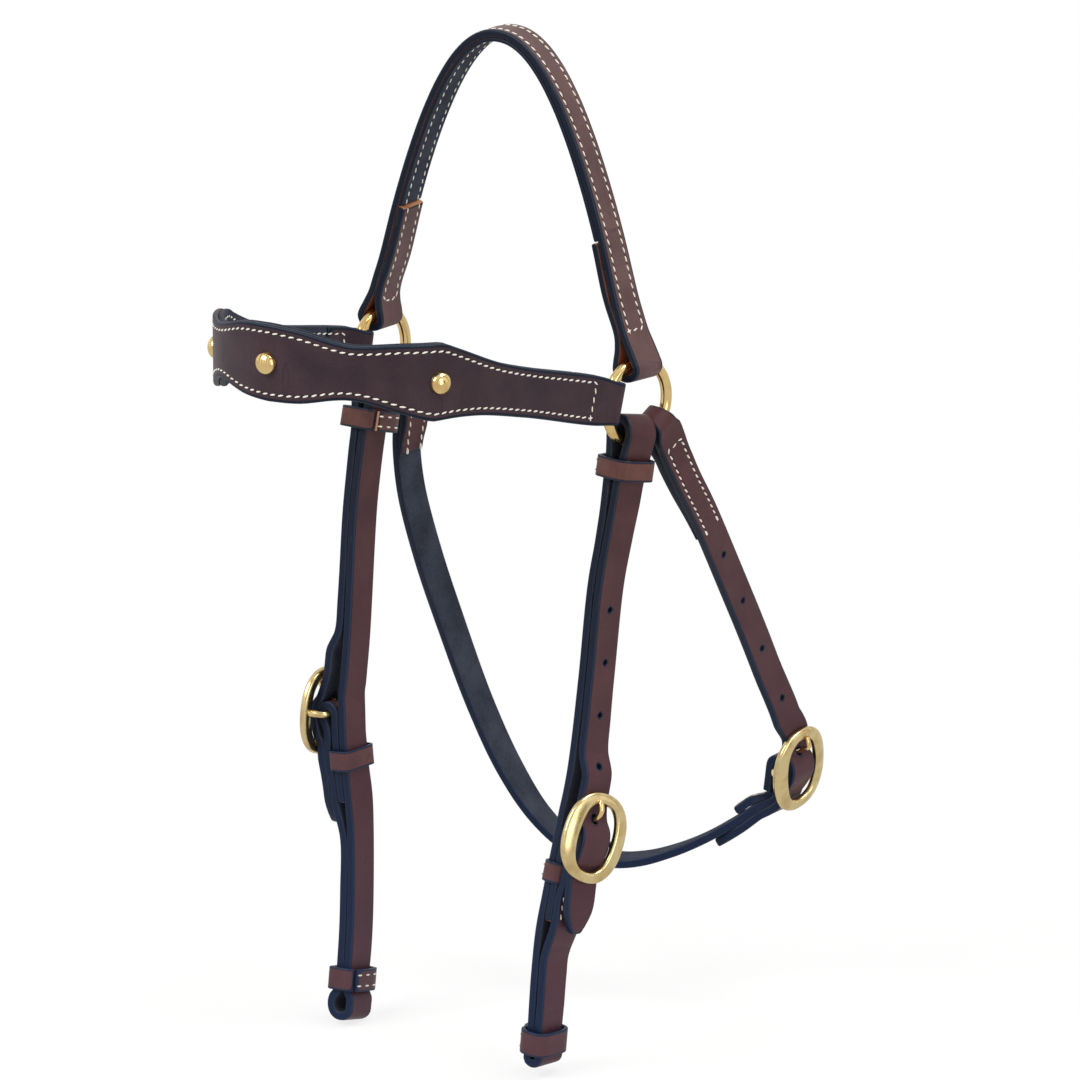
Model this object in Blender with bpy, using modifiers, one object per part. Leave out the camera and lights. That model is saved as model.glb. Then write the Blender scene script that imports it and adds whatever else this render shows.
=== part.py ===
"""Bridle of the barcoo pattern: a leather headpiece, browband, two buckled cheeks and a throatlash,
all hung on two brass rings.

Metres, +Z up. The browband faces -Y, and the bridle's right side in that view is +X. The origin is
under the headpiece's lining at its highest point, where the bridle rests on the head.

Every strap is cut flat, with its outline and its holes, and then bent along its route.
"""

import math

import bmesh
import bpy
import numpy as np
from mathutils import Matrix, Vector

# Leather
STRAP_WIDTH = 0.019
THIN = 0.0031
THICK = 0.0040
EDGE_BEVEL = 0.0008
LONGEST_STEP = 0.014
BROWBAND_STEP = 0.009
TURN_STEP = math.radians(20)
LINE_TURN_STEP = math.radians(10)
SAMPLE = 0.0005
CLEARANCE = 0.0003

# Headpiece: its outer face drops away from the top by CROWN_DROP at CROWN_HALF_SPAN to each side
CROWN_RISE = 0.1888
CROWN_HALF_SPAN = 0.0828
CROWN_DROP = 0.1355
CROWN_POWER = 2.13
CROWN_TURN_BACK = 0.066
CROWN_EYE = {"depth": 0.0074, "wide": 0.0074, "neck": 0.016}
POLL_FLAT = 0.007

# Rings
RING_SPREAD = 0.0895
RING_RADIUS = 0.022
RING_WIRE = 0.003
RING_YAW = {"right": math.radians(6), "left": math.radians(-4)}

# Browband
BROWBAND_END = 0.0125
BROWBAND_WAIST = 0.0145
BROWBAND_BUMP = 0.0208
BROWBAND_FOLD = 0.0115
BROWBAND_TURN_BACK = 0.028
BROWBAND_REACH = 0.1922
BROWBAND_EYE = {"depth": 0.0092, "wide": 0.0066, "neck": 0.015}
STUD_SPACING = 0.092
STUD_RADIUS = 0.0060
STUD_HEIGHT = 0.0042
STUD_SHANK = 0.0013
STUD_FOOT = 0.0028

# Buckles, all three alike
FRAME_LENGTH = 0.050
FRAME_WIDTH = 0.0445
FRAME_SIDE = 0.0070
FRAME_END = 0.0054
FRAME_THICKNESS = 0.0046
FRAME_OFFSET = 0.0073
FRAME_TILT = math.radians(12)
BAR_RADIUS = 0.0020
BAR_SLACK = 0.0006
PRONG_RADIUS = 0.0013
PRONG_SLOT = 0.0038
STRAIGHT_AT_BAR = 0.009

# Billets, the strap ends with holes
HOLE_RADIUS = 0.0021
CHEEK_HOLE_PITCH = 0.029
HOLE_COUNT = 4
PRONG_HOLE_LENGTH = 0.0078
# Where a prong passes through its billet, upwards from the bar and outwards
PRONG_PLACE = (0.0078, 0.0044)
TIP_LENGTH = 0.018
TIP_WIDTH = 0.0065
# A billet's way over its bar: distance from the bar in fold radii, and part of its full height
BILLET_CREST = [(-1.97, 0.50), (-1.0, 0.91), (-0.3, 1.03), (0.7, 1.02)]

# Keepers, the loops that hold the strap layers together
KEEPER_HEIGHT = 0.0105
KEEPER_LEATHER = 0.0018
KEEPER_CLEARANCE = 0.0003
KEEPER_SIDE_CLEARANCE = 0.0008

# Cheeks
CHEEK_TURN_BACK = 0.048
CHEEK_EYE = {"depth": 0.0128, "wide": 0.0072, "neck": 0.022}
TOP_KEEPER = 0.0145
TOP_KEEPER_SLACK = 0.0024
BIT_LOOP_HALF_WIDTH = 0.0068
BIT_SEAT = 0.0028

# Throatlash
THROAT_REACH = 0.1440
THROAT_HOLE_PITCH = 0.037
THROAT_EYE = {"depth": 0.0072, "wide": 0.0068, "neck": 0.020}
WAIST_LENGTH = 0.016
WAIST_FRONT = 0.0056
WAIST_BACK = 0.0034
THROAT_TURN_BACK = 0.040
BILLET_TURN_BACK = 0.080
RING_TURN_BACK = 0.043

# The pitch of two layers, and how far each is from the plane between them
THIN_PITCH = THIN + CLEARANCE
THIN_LAYER = THIN_PITCH / 2
PITCH = THICK + CLEARANCE
LAYER = PITCH / 2
RING_Z = -(CROWN_RISE - THIN - THIN_PITCH)
FOLD = BAR_RADIUS + BAR_SLACK + THICK / 2

# Routes: points that the middle of each run of straps passes through, measured from the level of
# the ring centres. The last number is the leather's yaw in degrees, towards the front right.
CHEEK_ROUTES = {
    "right": {
        "points": [
            ((0.0888, -0.0045, -0.0215), 9),
            ((0.0882, -0.0091, -0.0465), 8),
            ((0.0864, -0.0146, -0.0717), 5),
            ((0.0845, -0.0193, -0.0970), 3),
            ((0.0815, -0.0237, -0.1500), 2),
            ((0.0785, -0.0288, -0.2000), 7),
            ((0.0768, -0.0358, -0.2300), 12),
            ((0.0757, -0.0402, -0.2480), 12),
            ((0.0746, -0.0446, -0.2660), 9),
            ((0.0735, -0.0490, -0.2840), 4),
            ((0.0720, -0.0512, -0.3080), 1),
            ((0.0707, -0.0516, -0.3260), 0),
            ((0.0694, -0.0530, -0.3440), 0),
            ((0.0680, -0.0548, -0.3620), 0),
        ],
        "bar": 0.2120,
        "middle_keeper": 0.0198,
        "tip": 0.054,
        "bottom_keeper": 0.0214,
        "bit_loop": 0.0160,
    },
    "left": {
        "points": [
            ((-0.0894, -0.0060, -0.0211), -1),
            ((-0.0890, -0.0119, -0.0433), -2),
            ((-0.0882, -0.0167, -0.0657), -2),
            ((-0.0872, -0.0211, -0.0880), -2),
            ((-0.0828, -0.0318, -0.1520), -2),
            ((-0.0797, -0.0376, -0.1880), 5),
            ((-0.0782, -0.0389, -0.2050), 6),
            ((-0.0770, -0.0390, -0.2230), 4),
            ((-0.0757, -0.0391, -0.2410), 0),
            ((-0.0746, -0.0392, -0.2590), -3),
            ((-0.0724, -0.0420, -0.2970), -4),
            ((-0.0710, -0.0448, -0.3180), -4),
            ((-0.0695, -0.0492, -0.3400), -5),
            ((-0.0680, -0.0540, -0.3620), -6),
        ],
        "bar": 0.1772,
        "middle_keeper": 0.0240,
        "tip": 0.062,
        "bottom_keeper": 0.0260,
        "bit_loop": 0.0200,
    },
}

# Points of the browband; the middle number is a part of its reach, forwards
BROWBAND_ROUTE = [
    (0.0872, 0.1124, 0.0038),
    (0.0845, 0.3122, 0.0135),
    (0.0825, 0.5203, 0.0240),
    (0.0795, 0.6868, 0.0330),
    (0.0745, 0.8065, 0.0390),
    (0.0600, 0.8907, 0.0425),
    (0.0400, 0.9428, 0.0435),
    (0.0200, 0.9807, 0.0440),
    (0.0000, 1.0000, 0.0445),
    (-0.0220, 0.9781, 0.0437),
    (-0.0420, 0.9287, 0.0417),
    (-0.0580, 0.8585, 0.0385),
    (-0.0720, 0.7622, 0.0338),
    (-0.0810, 0.6400, 0.0280),
    (-0.0870, 0.4787, 0.0200),
    (-0.0893, 0.2862, 0.0115),
    (-0.0880, 0.1124, 0.0038),
]

# Points of the throatlash, the middle number a part of its reach backwards, and the direction
# that its width takes there
THROATLASH_ROUTE = [
    ((0.0914, 0.1104, -0.0152), (0.10, 0.79, 0.61)),
    ((0.0922, 0.1514, -0.0228), (0.08, 0.80, 0.60)),
    ((0.0932, 0.1889, -0.0314), (0.04, 0.82, 0.57)),
    ((0.0924, 0.2667, -0.0495), (0.0, 0.82, 0.57)),
    ((0.0904, 0.3743, -0.0707), (0.0, 0.82, 0.57)),
    ((0.0854, 0.5660, -0.1120), (0.0, 0.83, 0.56)),
    ((0.0823, 0.7361, -0.1530), (0.0, 0.84, 0.54)),
    ((0.0803, 0.8681, -0.1880), (0.0, 0.88, 0.46)),
    ((0.0790, 0.9569, -0.2150), (-0.03, 0.97, 0.22)),
    ((0.0760, 1.0000, -0.2380), (-0.06, 0.98, 0.15)),
    ((0.0695, 0.9688, -0.2520), (-0.10, 0.99, 0.07)),
    ((0.0612, 0.9132, -0.2620), (-0.17, 0.98, -0.02)),
    ((0.0520, 0.8576, -0.2700), (-0.24, 0.96, -0.10)),
    ((0.0420, 0.7986, -0.2770), (-0.30, 0.94, -0.15)),
    ((0.0300, 0.7361, -0.2832), (-0.30, 0.94, -0.10)),
    ((0.0150, 0.6701, -0.2880), (-0.30, 0.95, 0.0)),
    ((0.0000, 0.6181, -0.2895), (-0.28, 0.95, 0.0)),
    ((-0.0220, 0.5729, -0.2840), (-0.20, 0.97, 0.0)),
    ((-0.0420, 0.5486, -0.2705), (-0.10, 0.99, 0.0)),
    ((-0.0605, 0.5208, -0.2460), (0.0, 1.0, 0.10)),
    ((-0.0758, 0.4792, -0.2120), (0.0, 0.98, 0.18)),
    ((-0.0848, 0.3778, -0.1640), (0.0, 0.95, 0.30)),
    ((-0.0879, 0.2694, -0.1220), (0.0, 0.95, 0.30)),
    ((-0.0887, 0.1819, -0.0830), (0.0, 0.97, 0.25)),
    ((-0.0888, 0.1569, -0.0560), (0.0, 1.0, 0.05)),
    ((-0.0890, 0.1653, -0.0400), (0.0, 1.0, 0.06)),
    ((-0.0897, 0.1611, -0.0280), (0.0, 0.93, 0.36)),
    ((-0.0902, 0.1431, -0.0214), (0.0, 0.82, 0.57)),
    ((-0.0906, 0.1104, -0.0152), (0.0, 0.79, 0.61)),
]
THROAT_BAR = 0.2580
THROAT_TIP = 0.058


# Curves that pass through points

def smooth_path(points, per_span=14):
    """Dense points on a centripetal Catmull-Rom curve through the rows of points. The first three
    columns, or two on a flat path, are the place."""
    rows = np.array(points, dtype=float)
    first = 2 * rows[0] - rows[1]
    last = 2 * rows[-1] - rows[-2]
    rows = np.vstack([first, rows, last])
    place = rows[:, : min(3, rows.shape[1])]
    knots = [0.0]
    for a, b in zip(place[:-1], place[1:]):
        knots.append(knots[-1] + max(np.linalg.norm(b - a), 1e-9) ** 0.5)
    dense = []
    for i in range(1, len(rows) - 2):
        t0, t1, t2, t3 = knots[i - 1 : i + 3]
        p0, p1, p2, p3 = rows[i - 1 : i + 3]
        for step in range(per_span):
            t = t1 + (t2 - t1) * step / per_span
            a1 = (t1 - t) / (t1 - t0) * p0 + (t - t0) / (t1 - t0) * p1
            a2 = (t2 - t) / (t2 - t1) * p1 + (t - t1) / (t2 - t1) * p2
            a3 = (t3 - t) / (t3 - t2) * p2 + (t - t2) / (t3 - t2) * p3
            b1 = (t2 - t) / (t2 - t0) * a1 + (t - t0) / (t2 - t0) * a2
            b2 = (t3 - t) / (t3 - t1) * a2 + (t - t1) / (t3 - t1) * a3
            dense.append((t2 - t) / (t2 - t1) * b1 + (t - t1) / (t2 - t1) * b2)
    dense.append(rows[-2])
    return np.array(dense)


class Track:
    """A route in space with the direction of the strap's width at each point of it."""

    def __init__(self, points, across):
        self.points = np.array(points)
        steps = np.linalg.norm(np.diff(self.points, axis=0), axis=1)
        self.distance = np.concatenate([[0.0], np.cumsum(steps)])
        self.length = float(self.distance[-1])
        tangent = np.gradient(self.points, self.distance, axis=0)
        self.tangent = tangent / np.linalg.norm(tangent, axis=1)[:, None]
        self.across = np.array(across)

    def at(self, s):
        """Place, direction, width direction and outward direction at distance s."""
        inside = min(max(float(s), 0.0), self.length)
        point = self.row(self.points, inside)
        tangent = self.row(self.tangent, inside).normalized()
        across = self.row(self.across, inside)
        across = (across - across.dot(tangent) * tangent).normalized()
        return point + (float(s) - inside) * tangent, tangent, across, tangent.cross(across)

    def row(self, table, s):
        return Vector([float(np.interp(s, self.distance, table[:, k])) for k in range(3)])

    def place(self, s, v, n):
        """The point at distance s, v along the width and n outwards."""
        point, _, across, outward = self.at(s)
        return point + float(v) * across + float(n) * outward

    def nearest(self, point):
        """The distance along the route at which it passes nearest to a point."""
        start, step = self.points[:-1], np.diff(self.points, axis=0)
        reach = np.array(point) - start
        part = np.clip((reach * step).sum(axis=1) / (step * step).sum(axis=1), 0.0, 1.0)
        gaps = np.linalg.norm(part[:, None] * step - reach, axis=1)
        i = int(np.argmin(gaps))
        return float(self.distance[i] + part[i] * (self.distance[i + 1] - self.distance[i]))


def line_through(points, across):
    """The middle of a run of straps: a smooth curve through points, in ring-level coordinates."""
    rows = [(x, y, z + RING_Z, *width) for (x, y, z), width in zip(points, across)]
    dense = smooth_path(rows)
    return Track(dense[:, :3], dense[:, 3:])


def strap_route(line, profile, bar=None):
    """A strap's own route, from points (distance along the line, offset outwards). Near a buckle's
    bar, where one is given, it keeps the bar's direction instead of curving with the line."""
    points, widths = [], []
    for u, h in smooth_path(profile, per_span=10):
        point, _, across, outward = line.at(u)
        point = point + float(h) * outward
        if bar is not None:
            centre, along, level, out = line.at(bar)
            leave = (abs(u - bar) - STRAIGHT_AT_BAR) / STRAIGHT_AT_BAR
            leave = float(np.clip(leave, 0.0, 1.0))
            leave = leave * leave * (3 - 2 * leave)
            straight = centre + float(u - bar) * along + float(h) * out
            point = straight.lerp(point, leave)
            across = level.lerp(across, leave)
        points.append(point)
        widths.append(across)
    return Track(points, widths)


def line_marks(line, longest=LONGEST_STEP):
    """Distances along a line at which the straps beside it bend, closer where it curves."""
    found = [0.0]
    last = line.at(0.0)[1]
    for u in np.arange(SAMPLE, line.length - SAMPLE, SAMPLE):
        heading = line.at(u)[1]
        if last.angle(heading) > LINE_TURN_STEP or u - found[-1] > longest:
            found.append(float(u))
            last = heading
    return found


def stations(track, line, level):
    """Distances along a strap's route at which it bends. Where the strap runs beside the line they
    are level with the line's own marks, so that its layers bend together, and a fold has more."""
    found = [0.0]
    last = track.at(0.0)[1]
    before = line.nearest(track.place(0.0, 0.0, 0.0))
    for s in np.arange(SAMPLE, track.length - SAMPLE, SAMPLE):
        heading = track.at(s)[1]
        u = line.nearest(track.place(s, 0.0, 0.0))
        passed = [mark for mark in level if min(before, u) < mark <= max(before, u)]
        if passed and s - found[-1] > SAMPLE * 2:
            found.append(float(s - SAMPLE * (u - passed[0]) / (u - before)))
            last = heading
        elif last.angle(heading) > TURN_STEP:
            found.append(float(s))
            last = heading
        before = u
    return found + [track.length]


# Profiles of the layers, as points (distance along the line, offset outwards)

def eye(depth, wide, neck, layer=LAYER):
    """The end of a strap round a wire: from the inner layer, round the end, to the outer layer."""
    half = [
        (neck, layer),
        (neck * 0.5, layer + 0.34 * (wide - layer)),
        (0.0, wide * 0.90),
        (-depth * 0.42, wide),
        (-depth * 0.80, wide * 0.72),
        (-depth, wide * 0.26),
    ]
    inner = [(u, -h) for u, h in half]
    return inner + half[::-1]


def at_far_end(length, profile):
    """The same profile at the other end of the line, travelled from the outer to the inner layer."""
    return [(length - u, h) for u, h in reversed(profile)]


def bar_fold(bar, height):
    """A strap's fold round a buckle's centre bar."""
    turn = []
    for step in range(7):
        angle = math.pi * step / 6
        turn.append((bar - FOLD * math.sin(angle), height - FOLD * math.cos(angle)))
    return turn


def tilted(up, out):
    """A point of a buckle frame, upwards from its bar and outwards, after the frame's tilt."""
    c, s = math.cos(FRAME_TILT), math.sin(FRAME_TILT)
    return up * c + out * s, out * c - up * s


def billet_through(bar, height):
    """A billet's way through a buckle: under the frame's top end, over its bar, under the other end."""
    reach = (FRAME_LENGTH - FRAME_END) / 2
    under = FRAME_THICKNESS / 2 + CLEARANCE + THICK / 2
    over = FOLD + PITCH
    top_up, top_out = tilted(reach, FRAME_OFFSET)
    low_up, low_out = tilted(-reach, FRAME_OFFSET)
    points = [
        (-top_up - 0.012, top_out - under - 0.0004),
        (-top_up - FRAME_END / 2, top_out - under),
        (-top_up + FRAME_END * 0.6, top_out - under + 0.0003),
        *[(FOLD * along, over * high) for along, high in BILLET_CREST],
        (FOLD * 2.6, low_out - under + 0.0012),
        (-low_up - FRAME_END * 0.8, low_out - under - 0.0009),
        (-low_up + FRAME_END * 0.7, low_out - under - 0.0007),
    ]
    return [(bar + u, height + h) for u, h in points]


# Making and bending the leather

def link(obj):
    PARTS.objects.link(obj)
    return obj


def remove(obj):
    mesh = obj.data
    bpy.data.objects.remove(obj)
    bpy.data.meshes.remove(mesh)


def baked(obj):
    """The object's evaluated mesh, as a new mesh."""
    graph = bpy.context.evaluated_depsgraph_get()
    graph.update()
    return bpy.data.meshes.new_from_object(obj.evaluated_get(graph))


def face_outwards(mesh):
    """Joins a mesh's doubled points and turns all of its faces outwards."""
    bm = bmesh.new()
    bm.from_mesh(mesh)
    bmesh.ops.remove_doubles(bm, verts=bm.verts, dist=1e-6)
    bmesh.ops.recalc_face_normals(bm, faces=bm.faces)
    bm.to_mesh(mesh)
    bm.free()


def add_modifier(obj, kind, **settings):
    modifier = obj.modifiers.new(kind.title(), kind)
    for key, value in settings.items():
        setattr(modifier, key, value)
    return modifier


def cut(obj, cutter, operation="DIFFERENCE"):
    add_modifier(obj, "BOOLEAN", object=cutter, operation=operation, solver="EXACT")


def flat_cutter(name, length, width, x, y=0.0):
    """An upright punch with round ends, centred on (x, y)."""
    bm = bmesh.new()
    radius = width / 2
    bmesh.ops.create_cone(
        bm, cap_ends=True, segments=12, radius1=radius, radius2=radius, depth=THICK * 4
    )
    stretch = max(length / 2 - radius, 0.0)
    for vert in bm.verts:
        side = 1.0 if vert.co.x > 1e-7 else -1.0 if vert.co.x < -1e-7 else 0.0
        vert.co.x += side * stretch
        vert.co += Vector((x, y, 0.0))
    mesh = bpy.data.meshes.new(name)
    bm.to_mesh(mesh)
    bm.free()
    cutter = bpy.data.objects.new(name, mesh)
    cutter.hide_render = True
    cutter.display_type = "WIRE"
    CUTTERS.objects.link(cutter)
    return cutter


def flat_blank(name, marks, outline, thickness):
    """A strap cut flat: its length is along X, and the outline gives its two edges at each mark."""
    bm = bmesh.new()
    spans = len(marks) - 1
    bmesh.ops.create_grid(bm, x_segments=spans, y_segments=1, size=1.0)
    for vert in bm.verts:
        mark = marks[round((vert.co.x + 1) / 2 * spans)]
        vert.co = Vector((mark, outline(mark)[vert.co.y > 0], 0.0))
    mesh = bpy.data.meshes.new(name)
    bm.to_mesh(mesh)
    bm.free()
    blank = link(bpy.data.objects.new(name, mesh))
    add_modifier(blank, "SOLIDIFY", thickness=thickness, offset=0.0)
    add_modifier(
        blank, "BEVEL", width=EDGE_BEVEL, segments=1, limit_method="ANGLE",
        angle_limit=math.radians(50), use_clamp_overlap=False,
    )
    return blank


def straight_edges(_):
    return -STRAP_WIDTH / 2, STRAP_WIDTH / 2


def bend_strap(name, route, marks, material, thickness=THICK, outline=straight_edges, holes=()):
    """Cuts a strap flat, punches it, and bends it along its route at the marks. A hole is
    (distance, length, width)."""
    blank = flat_blank(name + "_blank", marks, outline, thickness)
    punches = []
    for distance, length, width in holes:
        punch = flat_cutter(f"{name}_punch", length, width, distance)
        cut(blank, punch)
        punches.append(punch)
    mesh = baked(blank)
    for scrap in [blank] + punches:
        remove(scrap)
    for vert in mesh.vertices:
        vert.co = route.place(vert.co.x, vert.co.y, vert.co.z)
    mesh.name = name
    obj = link(bpy.data.objects.new(name, mesh))
    return finish(obj, material)


def finish(obj, material, angle=35):
    obj.data.materials.clear()
    obj.data.materials.append(material)
    obj.data.shade_smooth()
    obj.data.set_sharp_from_angle(angle=math.radians(angle))
    return obj


def set_origin(obj, point):
    """Moves an object's origin to a point, with its shape left where it is."""
    obj.data.transform(Matrix.Translation(-point))
    obj.location = point


def make_material(name, colour, roughness, metallic=0.0):
    material = bpy.data.materials.new(name)
    material.use_nodes = True
    shader = material.node_tree.nodes["Principled BSDF"]
    shader.inputs["Base Color"].default_value = (*colour, 1.0)
    shader.inputs["Roughness"].default_value = roughness
    shader.inputs["Metallic"].default_value = metallic
    material.diffuse_color = (*colour, 1.0)
    return material


# Lines that the straps follow

def crown_line():
    """The middle of the headpiece's two layers, from the right ring over the head to the left one."""
    right = []
    for step in range(9):
        x = CROWN_HALF_SPAN * step / 8
        drop = CROWN_DROP * (x / CROWN_HALF_SPAN) ** CROWN_POWER
        slope = CROWN_POWER * drop / x if x else 0.0
        outward = Vector((slope, 1.0)).normalized()
        depth = THIN + CLEARANCE / 2
        right.append((x - outward.x * depth, CROWN_RISE - drop - outward.y * depth))
    lean = RING_SPREAD - right[-1][0]
    drop = right[-1][1] - RING_RADIUS
    right.append((RING_SPREAD - lean * 0.42, RING_RADIUS + drop * 0.52))
    right.append((RING_SPREAD - lean * 0.12, RING_RADIUS + drop * 0.20))
    right.append((RING_SPREAD, RING_RADIUS))
    points = [(x, 0.0, z) for x, z in reversed(right)] + [(-x, 0.0, z) for x, z in right[1:]]
    turns = {
        "right": [(0.022, RING_YAW["right"]), (0.060, 0.0), (0.100, -0.06), (0.190, -0.12)],
        "left": [(0.022, RING_YAW["left"]), (0.060, -0.10), (0.100, -0.15), (0.190, -0.12)],
    }
    across = []
    for x, _, z in points:
        heights, angles = zip(*turns["right" if x > 0 else "left"])
        turn = float(np.interp(z, heights, angles))
        across.append((-math.sin(turn), -math.cos(turn), 0.0))
    return line_through(points, across)


def browband_line():
    points = [(x, -part * BROWBAND_REACH, z) for x, part, z in BROWBAND_ROUTE]
    return line_through(points, [(0.0, 0.0, -1.0)] * len(points))


def cheek_line(side):
    """From the ring's lowest wire down the middle of the cheek's layers to the end of the bit loop."""
    sign = 1 if side == "right" else -1
    points, across = [], []
    for point, yaw in CHEEK_ROUTES[side]["points"]:
        turn = math.radians(yaw)
        points.append(point)
        across.append((sign * math.sin(turn), sign * math.cos(turn), 0.0))
    return line_through(points, across)


def throatlash_line():
    points = [(x, part * THROAT_REACH, z) for (x, part, z), _ in THROATLASH_ROUTE]
    return line_through(points, [across for _, across in THROATLASH_ROUTE])


# Sub-parts

def ring_centre(side):
    return Vector((RING_SPREAD if side == "right" else -RING_SPREAD, 0.0, RING_Z))


def ring_bottom(side):
    return ring_centre(side) - Vector((0.0, 0.0, RING_RADIUS))


def ring(side):
    bpy.ops.mesh.primitive_torus_add(
        major_radius=RING_RADIUS, minor_radius=RING_WIRE, major_segments=40, minor_segments=8
    )
    obj = bpy.context.object
    for collection in list(obj.users_collection):
        collection.objects.unlink(obj)
    obj.name = f"ring_{side}"
    link(obj)
    stand = Matrix.Rotation(math.pi / 2, 4, "Y")
    obj.data.transform(stand)
    obj.rotation_euler = (0.0, 0.0, -RING_YAW[side])
    obj.location = ring_centre(side)
    return finish(obj, BRASS)


def headpiece():
    line = crown_line()
    end = eye(**CROWN_EYE, layer=THIN_LAYER)
    inner_start = [(CROWN_TURN_BACK, -THIN_LAYER), (CROWN_TURN_BACK * 0.6, -THIN_LAYER)]
    outer = [(line.length * part, THIN_LAYER) for part in np.linspace(0.07, 0.93, 33)]
    profile = inner_start + end + outer
    profile += at_far_end(line.length, end) + at_far_end(line.length, inner_start)
    route = strap_route(line, profile)
    middle = line.length / 2
    level = [u for u in line_marks(line) if abs(u - middle) > POLL_FLAT]
    level += [middle - POLL_FLAT / 2, middle + POLL_FLAT / 2]
    bend_strap("crown_strap", route, stations(route, line, level), LEATHER_BROWN, THIN)

    lining = CROWN_TURN_BACK + CLEARANCE * 2
    spread = np.linspace(lining, line.length - lining, 32)
    route = strap_route(line, [(u, -THIN_LAYER) for u in spread])
    bend_strap("crown_lining", route, stations(route, line, level), LEATHER_BLACK, THIN)


def browband_shape(line, route):
    """The browband's outline along a strap's route: a bump at each stud, and a waist at each fold."""
    middle = line.length / 2
    curve = smooth_path([
        (0.0, BROWBAND_BUMP),
        (0.018, BROWBAND_BUMP - 0.0012),
        (0.046, BROWBAND_WAIST),
        (0.074, BROWBAND_BUMP - 0.0022),
        (STUD_SPACING, BROWBAND_BUMP),
        (STUD_SPACING + 0.010, BROWBAND_BUMP - 0.0012),
        (STUD_SPACING + 0.040, BROWBAND_END + 0.0012),
        (STUD_SPACING + 0.070, BROWBAND_END),
        (middle - 0.010, BROWBAND_END),
        (middle, BROWBAND_FOLD),
    ])

    def outline(s):
        u = line.nearest(route.place(s, 0.0, 0.0))
        half = float(np.interp(abs(u - middle), curve[:, 0], curve[:, 1]))
        return -half, half

    return outline


def browband():
    line = browband_line()
    middle = line.length / 2
    end = eye(**BROWBAND_EYE, layer=THIN_LAYER)
    inner_start = [(BROWBAND_TURN_BACK, -THIN_LAYER)]
    count = int(line.length / 0.010)
    outer = [(line.length * part, THIN_LAYER) for part in np.linspace(0.06, 0.94, count)]
    profile = inner_start + end + outer
    profile += at_far_end(line.length, end) + at_far_end(line.length, inner_start)
    inset = BROWBAND_TURN_BACK + CLEARANCE * 2
    inside = [(u, -THIN_LAYER) for u in np.linspace(inset, line.length - inset, count)]
    studs = [middle - STUD_SPACING, middle, middle + STUD_SPACING]
    punch = (STUD_SHANK + CLEARANCE) * 2
    level = line_marks(line, BROWBAND_STEP)
    for name, material, shape, layer in (
        ("browband_strap", LEATHER_DARK, profile, THIN_LAYER),
        ("browband_lining", LEATHER_BLACK, inside, -THIN_LAYER),
    ):
        route = strap_route(line, shape)
        spots = [line.place(u, 0.0, layer) for u in studs]
        holes = [(route.nearest(spot), punch, punch) for spot in spots]
        marks = stations(route, line, level)
        band = bend_strap(name, route, marks, material, THIN, browband_shape(line, route), holes)
        set_origin(band, ring_centre("right"))
    for name, u in zip(("stud_right", "stud_centre", "stud_left"), studs):
        stud(name, line, u)


def stud(name, line, u):
    """A domed stud: its shank goes through both layers, and a small foot holds it at the back."""
    face = THIN_PITCH + CLEARANCE / 2
    profile = []
    for step in range(6):
        angle = math.pi / 2 * step / 5
        profile.append((STUD_RADIUS * math.sin(angle), face + STUD_HEIGHT * math.cos(angle)))
    profile[0] = (0.0, face + STUD_HEIGHT)
    profile += [(STUD_RADIUS, face), (STUD_SHANK, face), (STUD_SHANK, -face), (STUD_FOOT, -face)]
    profile += [(STUD_FOOT * 0.75, -face - 0.0011), (0.0, -face - 0.0012)]
    mesh = bpy.data.meshes.new(name)
    edges = [(i + 1, i) for i in range(len(profile) - 1)]
    mesh.from_pydata([(r, 0.0, z) for r, z in profile], edges, [])
    turned = link(bpy.data.objects.new(name + "_profile", mesh))
    add_modifier(
        turned, "SCREW", steps=16, render_steps=16, use_merge_vertices=True, merge_threshold=1e-5
    )
    solid = baked(turned)
    remove(turned)
    face_outwards(solid)
    solid.name = name
    obj = link(bpy.data.objects.new(name, solid))
    point, tangent, across, outward = line.at(u)
    rotation = Matrix((tangent, across, outward)).transposed()
    obj.matrix_world = Matrix.Translation(point) @ rotation.to_4x4()
    finish(obj, BRASS)


def curve_mesh(name, points, radius, radii=None, cyclic=False, resolution=2):
    """A round bar along points, as a closed mesh object."""
    curve = bpy.data.curves.new(name, "CURVE")
    curve.dimensions = "3D"
    curve.bevel_depth = radius
    curve.bevel_resolution = resolution
    curve.use_fill_caps = not cyclic
    spline = curve.splines.new("POLY")
    spline.points.add(len(points) - 1)
    for i, point in enumerate(points):
        spline.points[i].co = (*point, 1.0)
        if radii:
            spline.points[i].radius = radii[i]
    spline.use_cyclic_u = cyclic
    bar = link(bpy.data.objects.new(name + "_curve", curve))
    mesh = baked(bar)
    bpy.data.objects.remove(bar)
    bpy.data.curves.remove(curve)
    face_outwards(mesh)
    mesh.name = name
    return link(bpy.data.objects.new(name, mesh))


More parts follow.
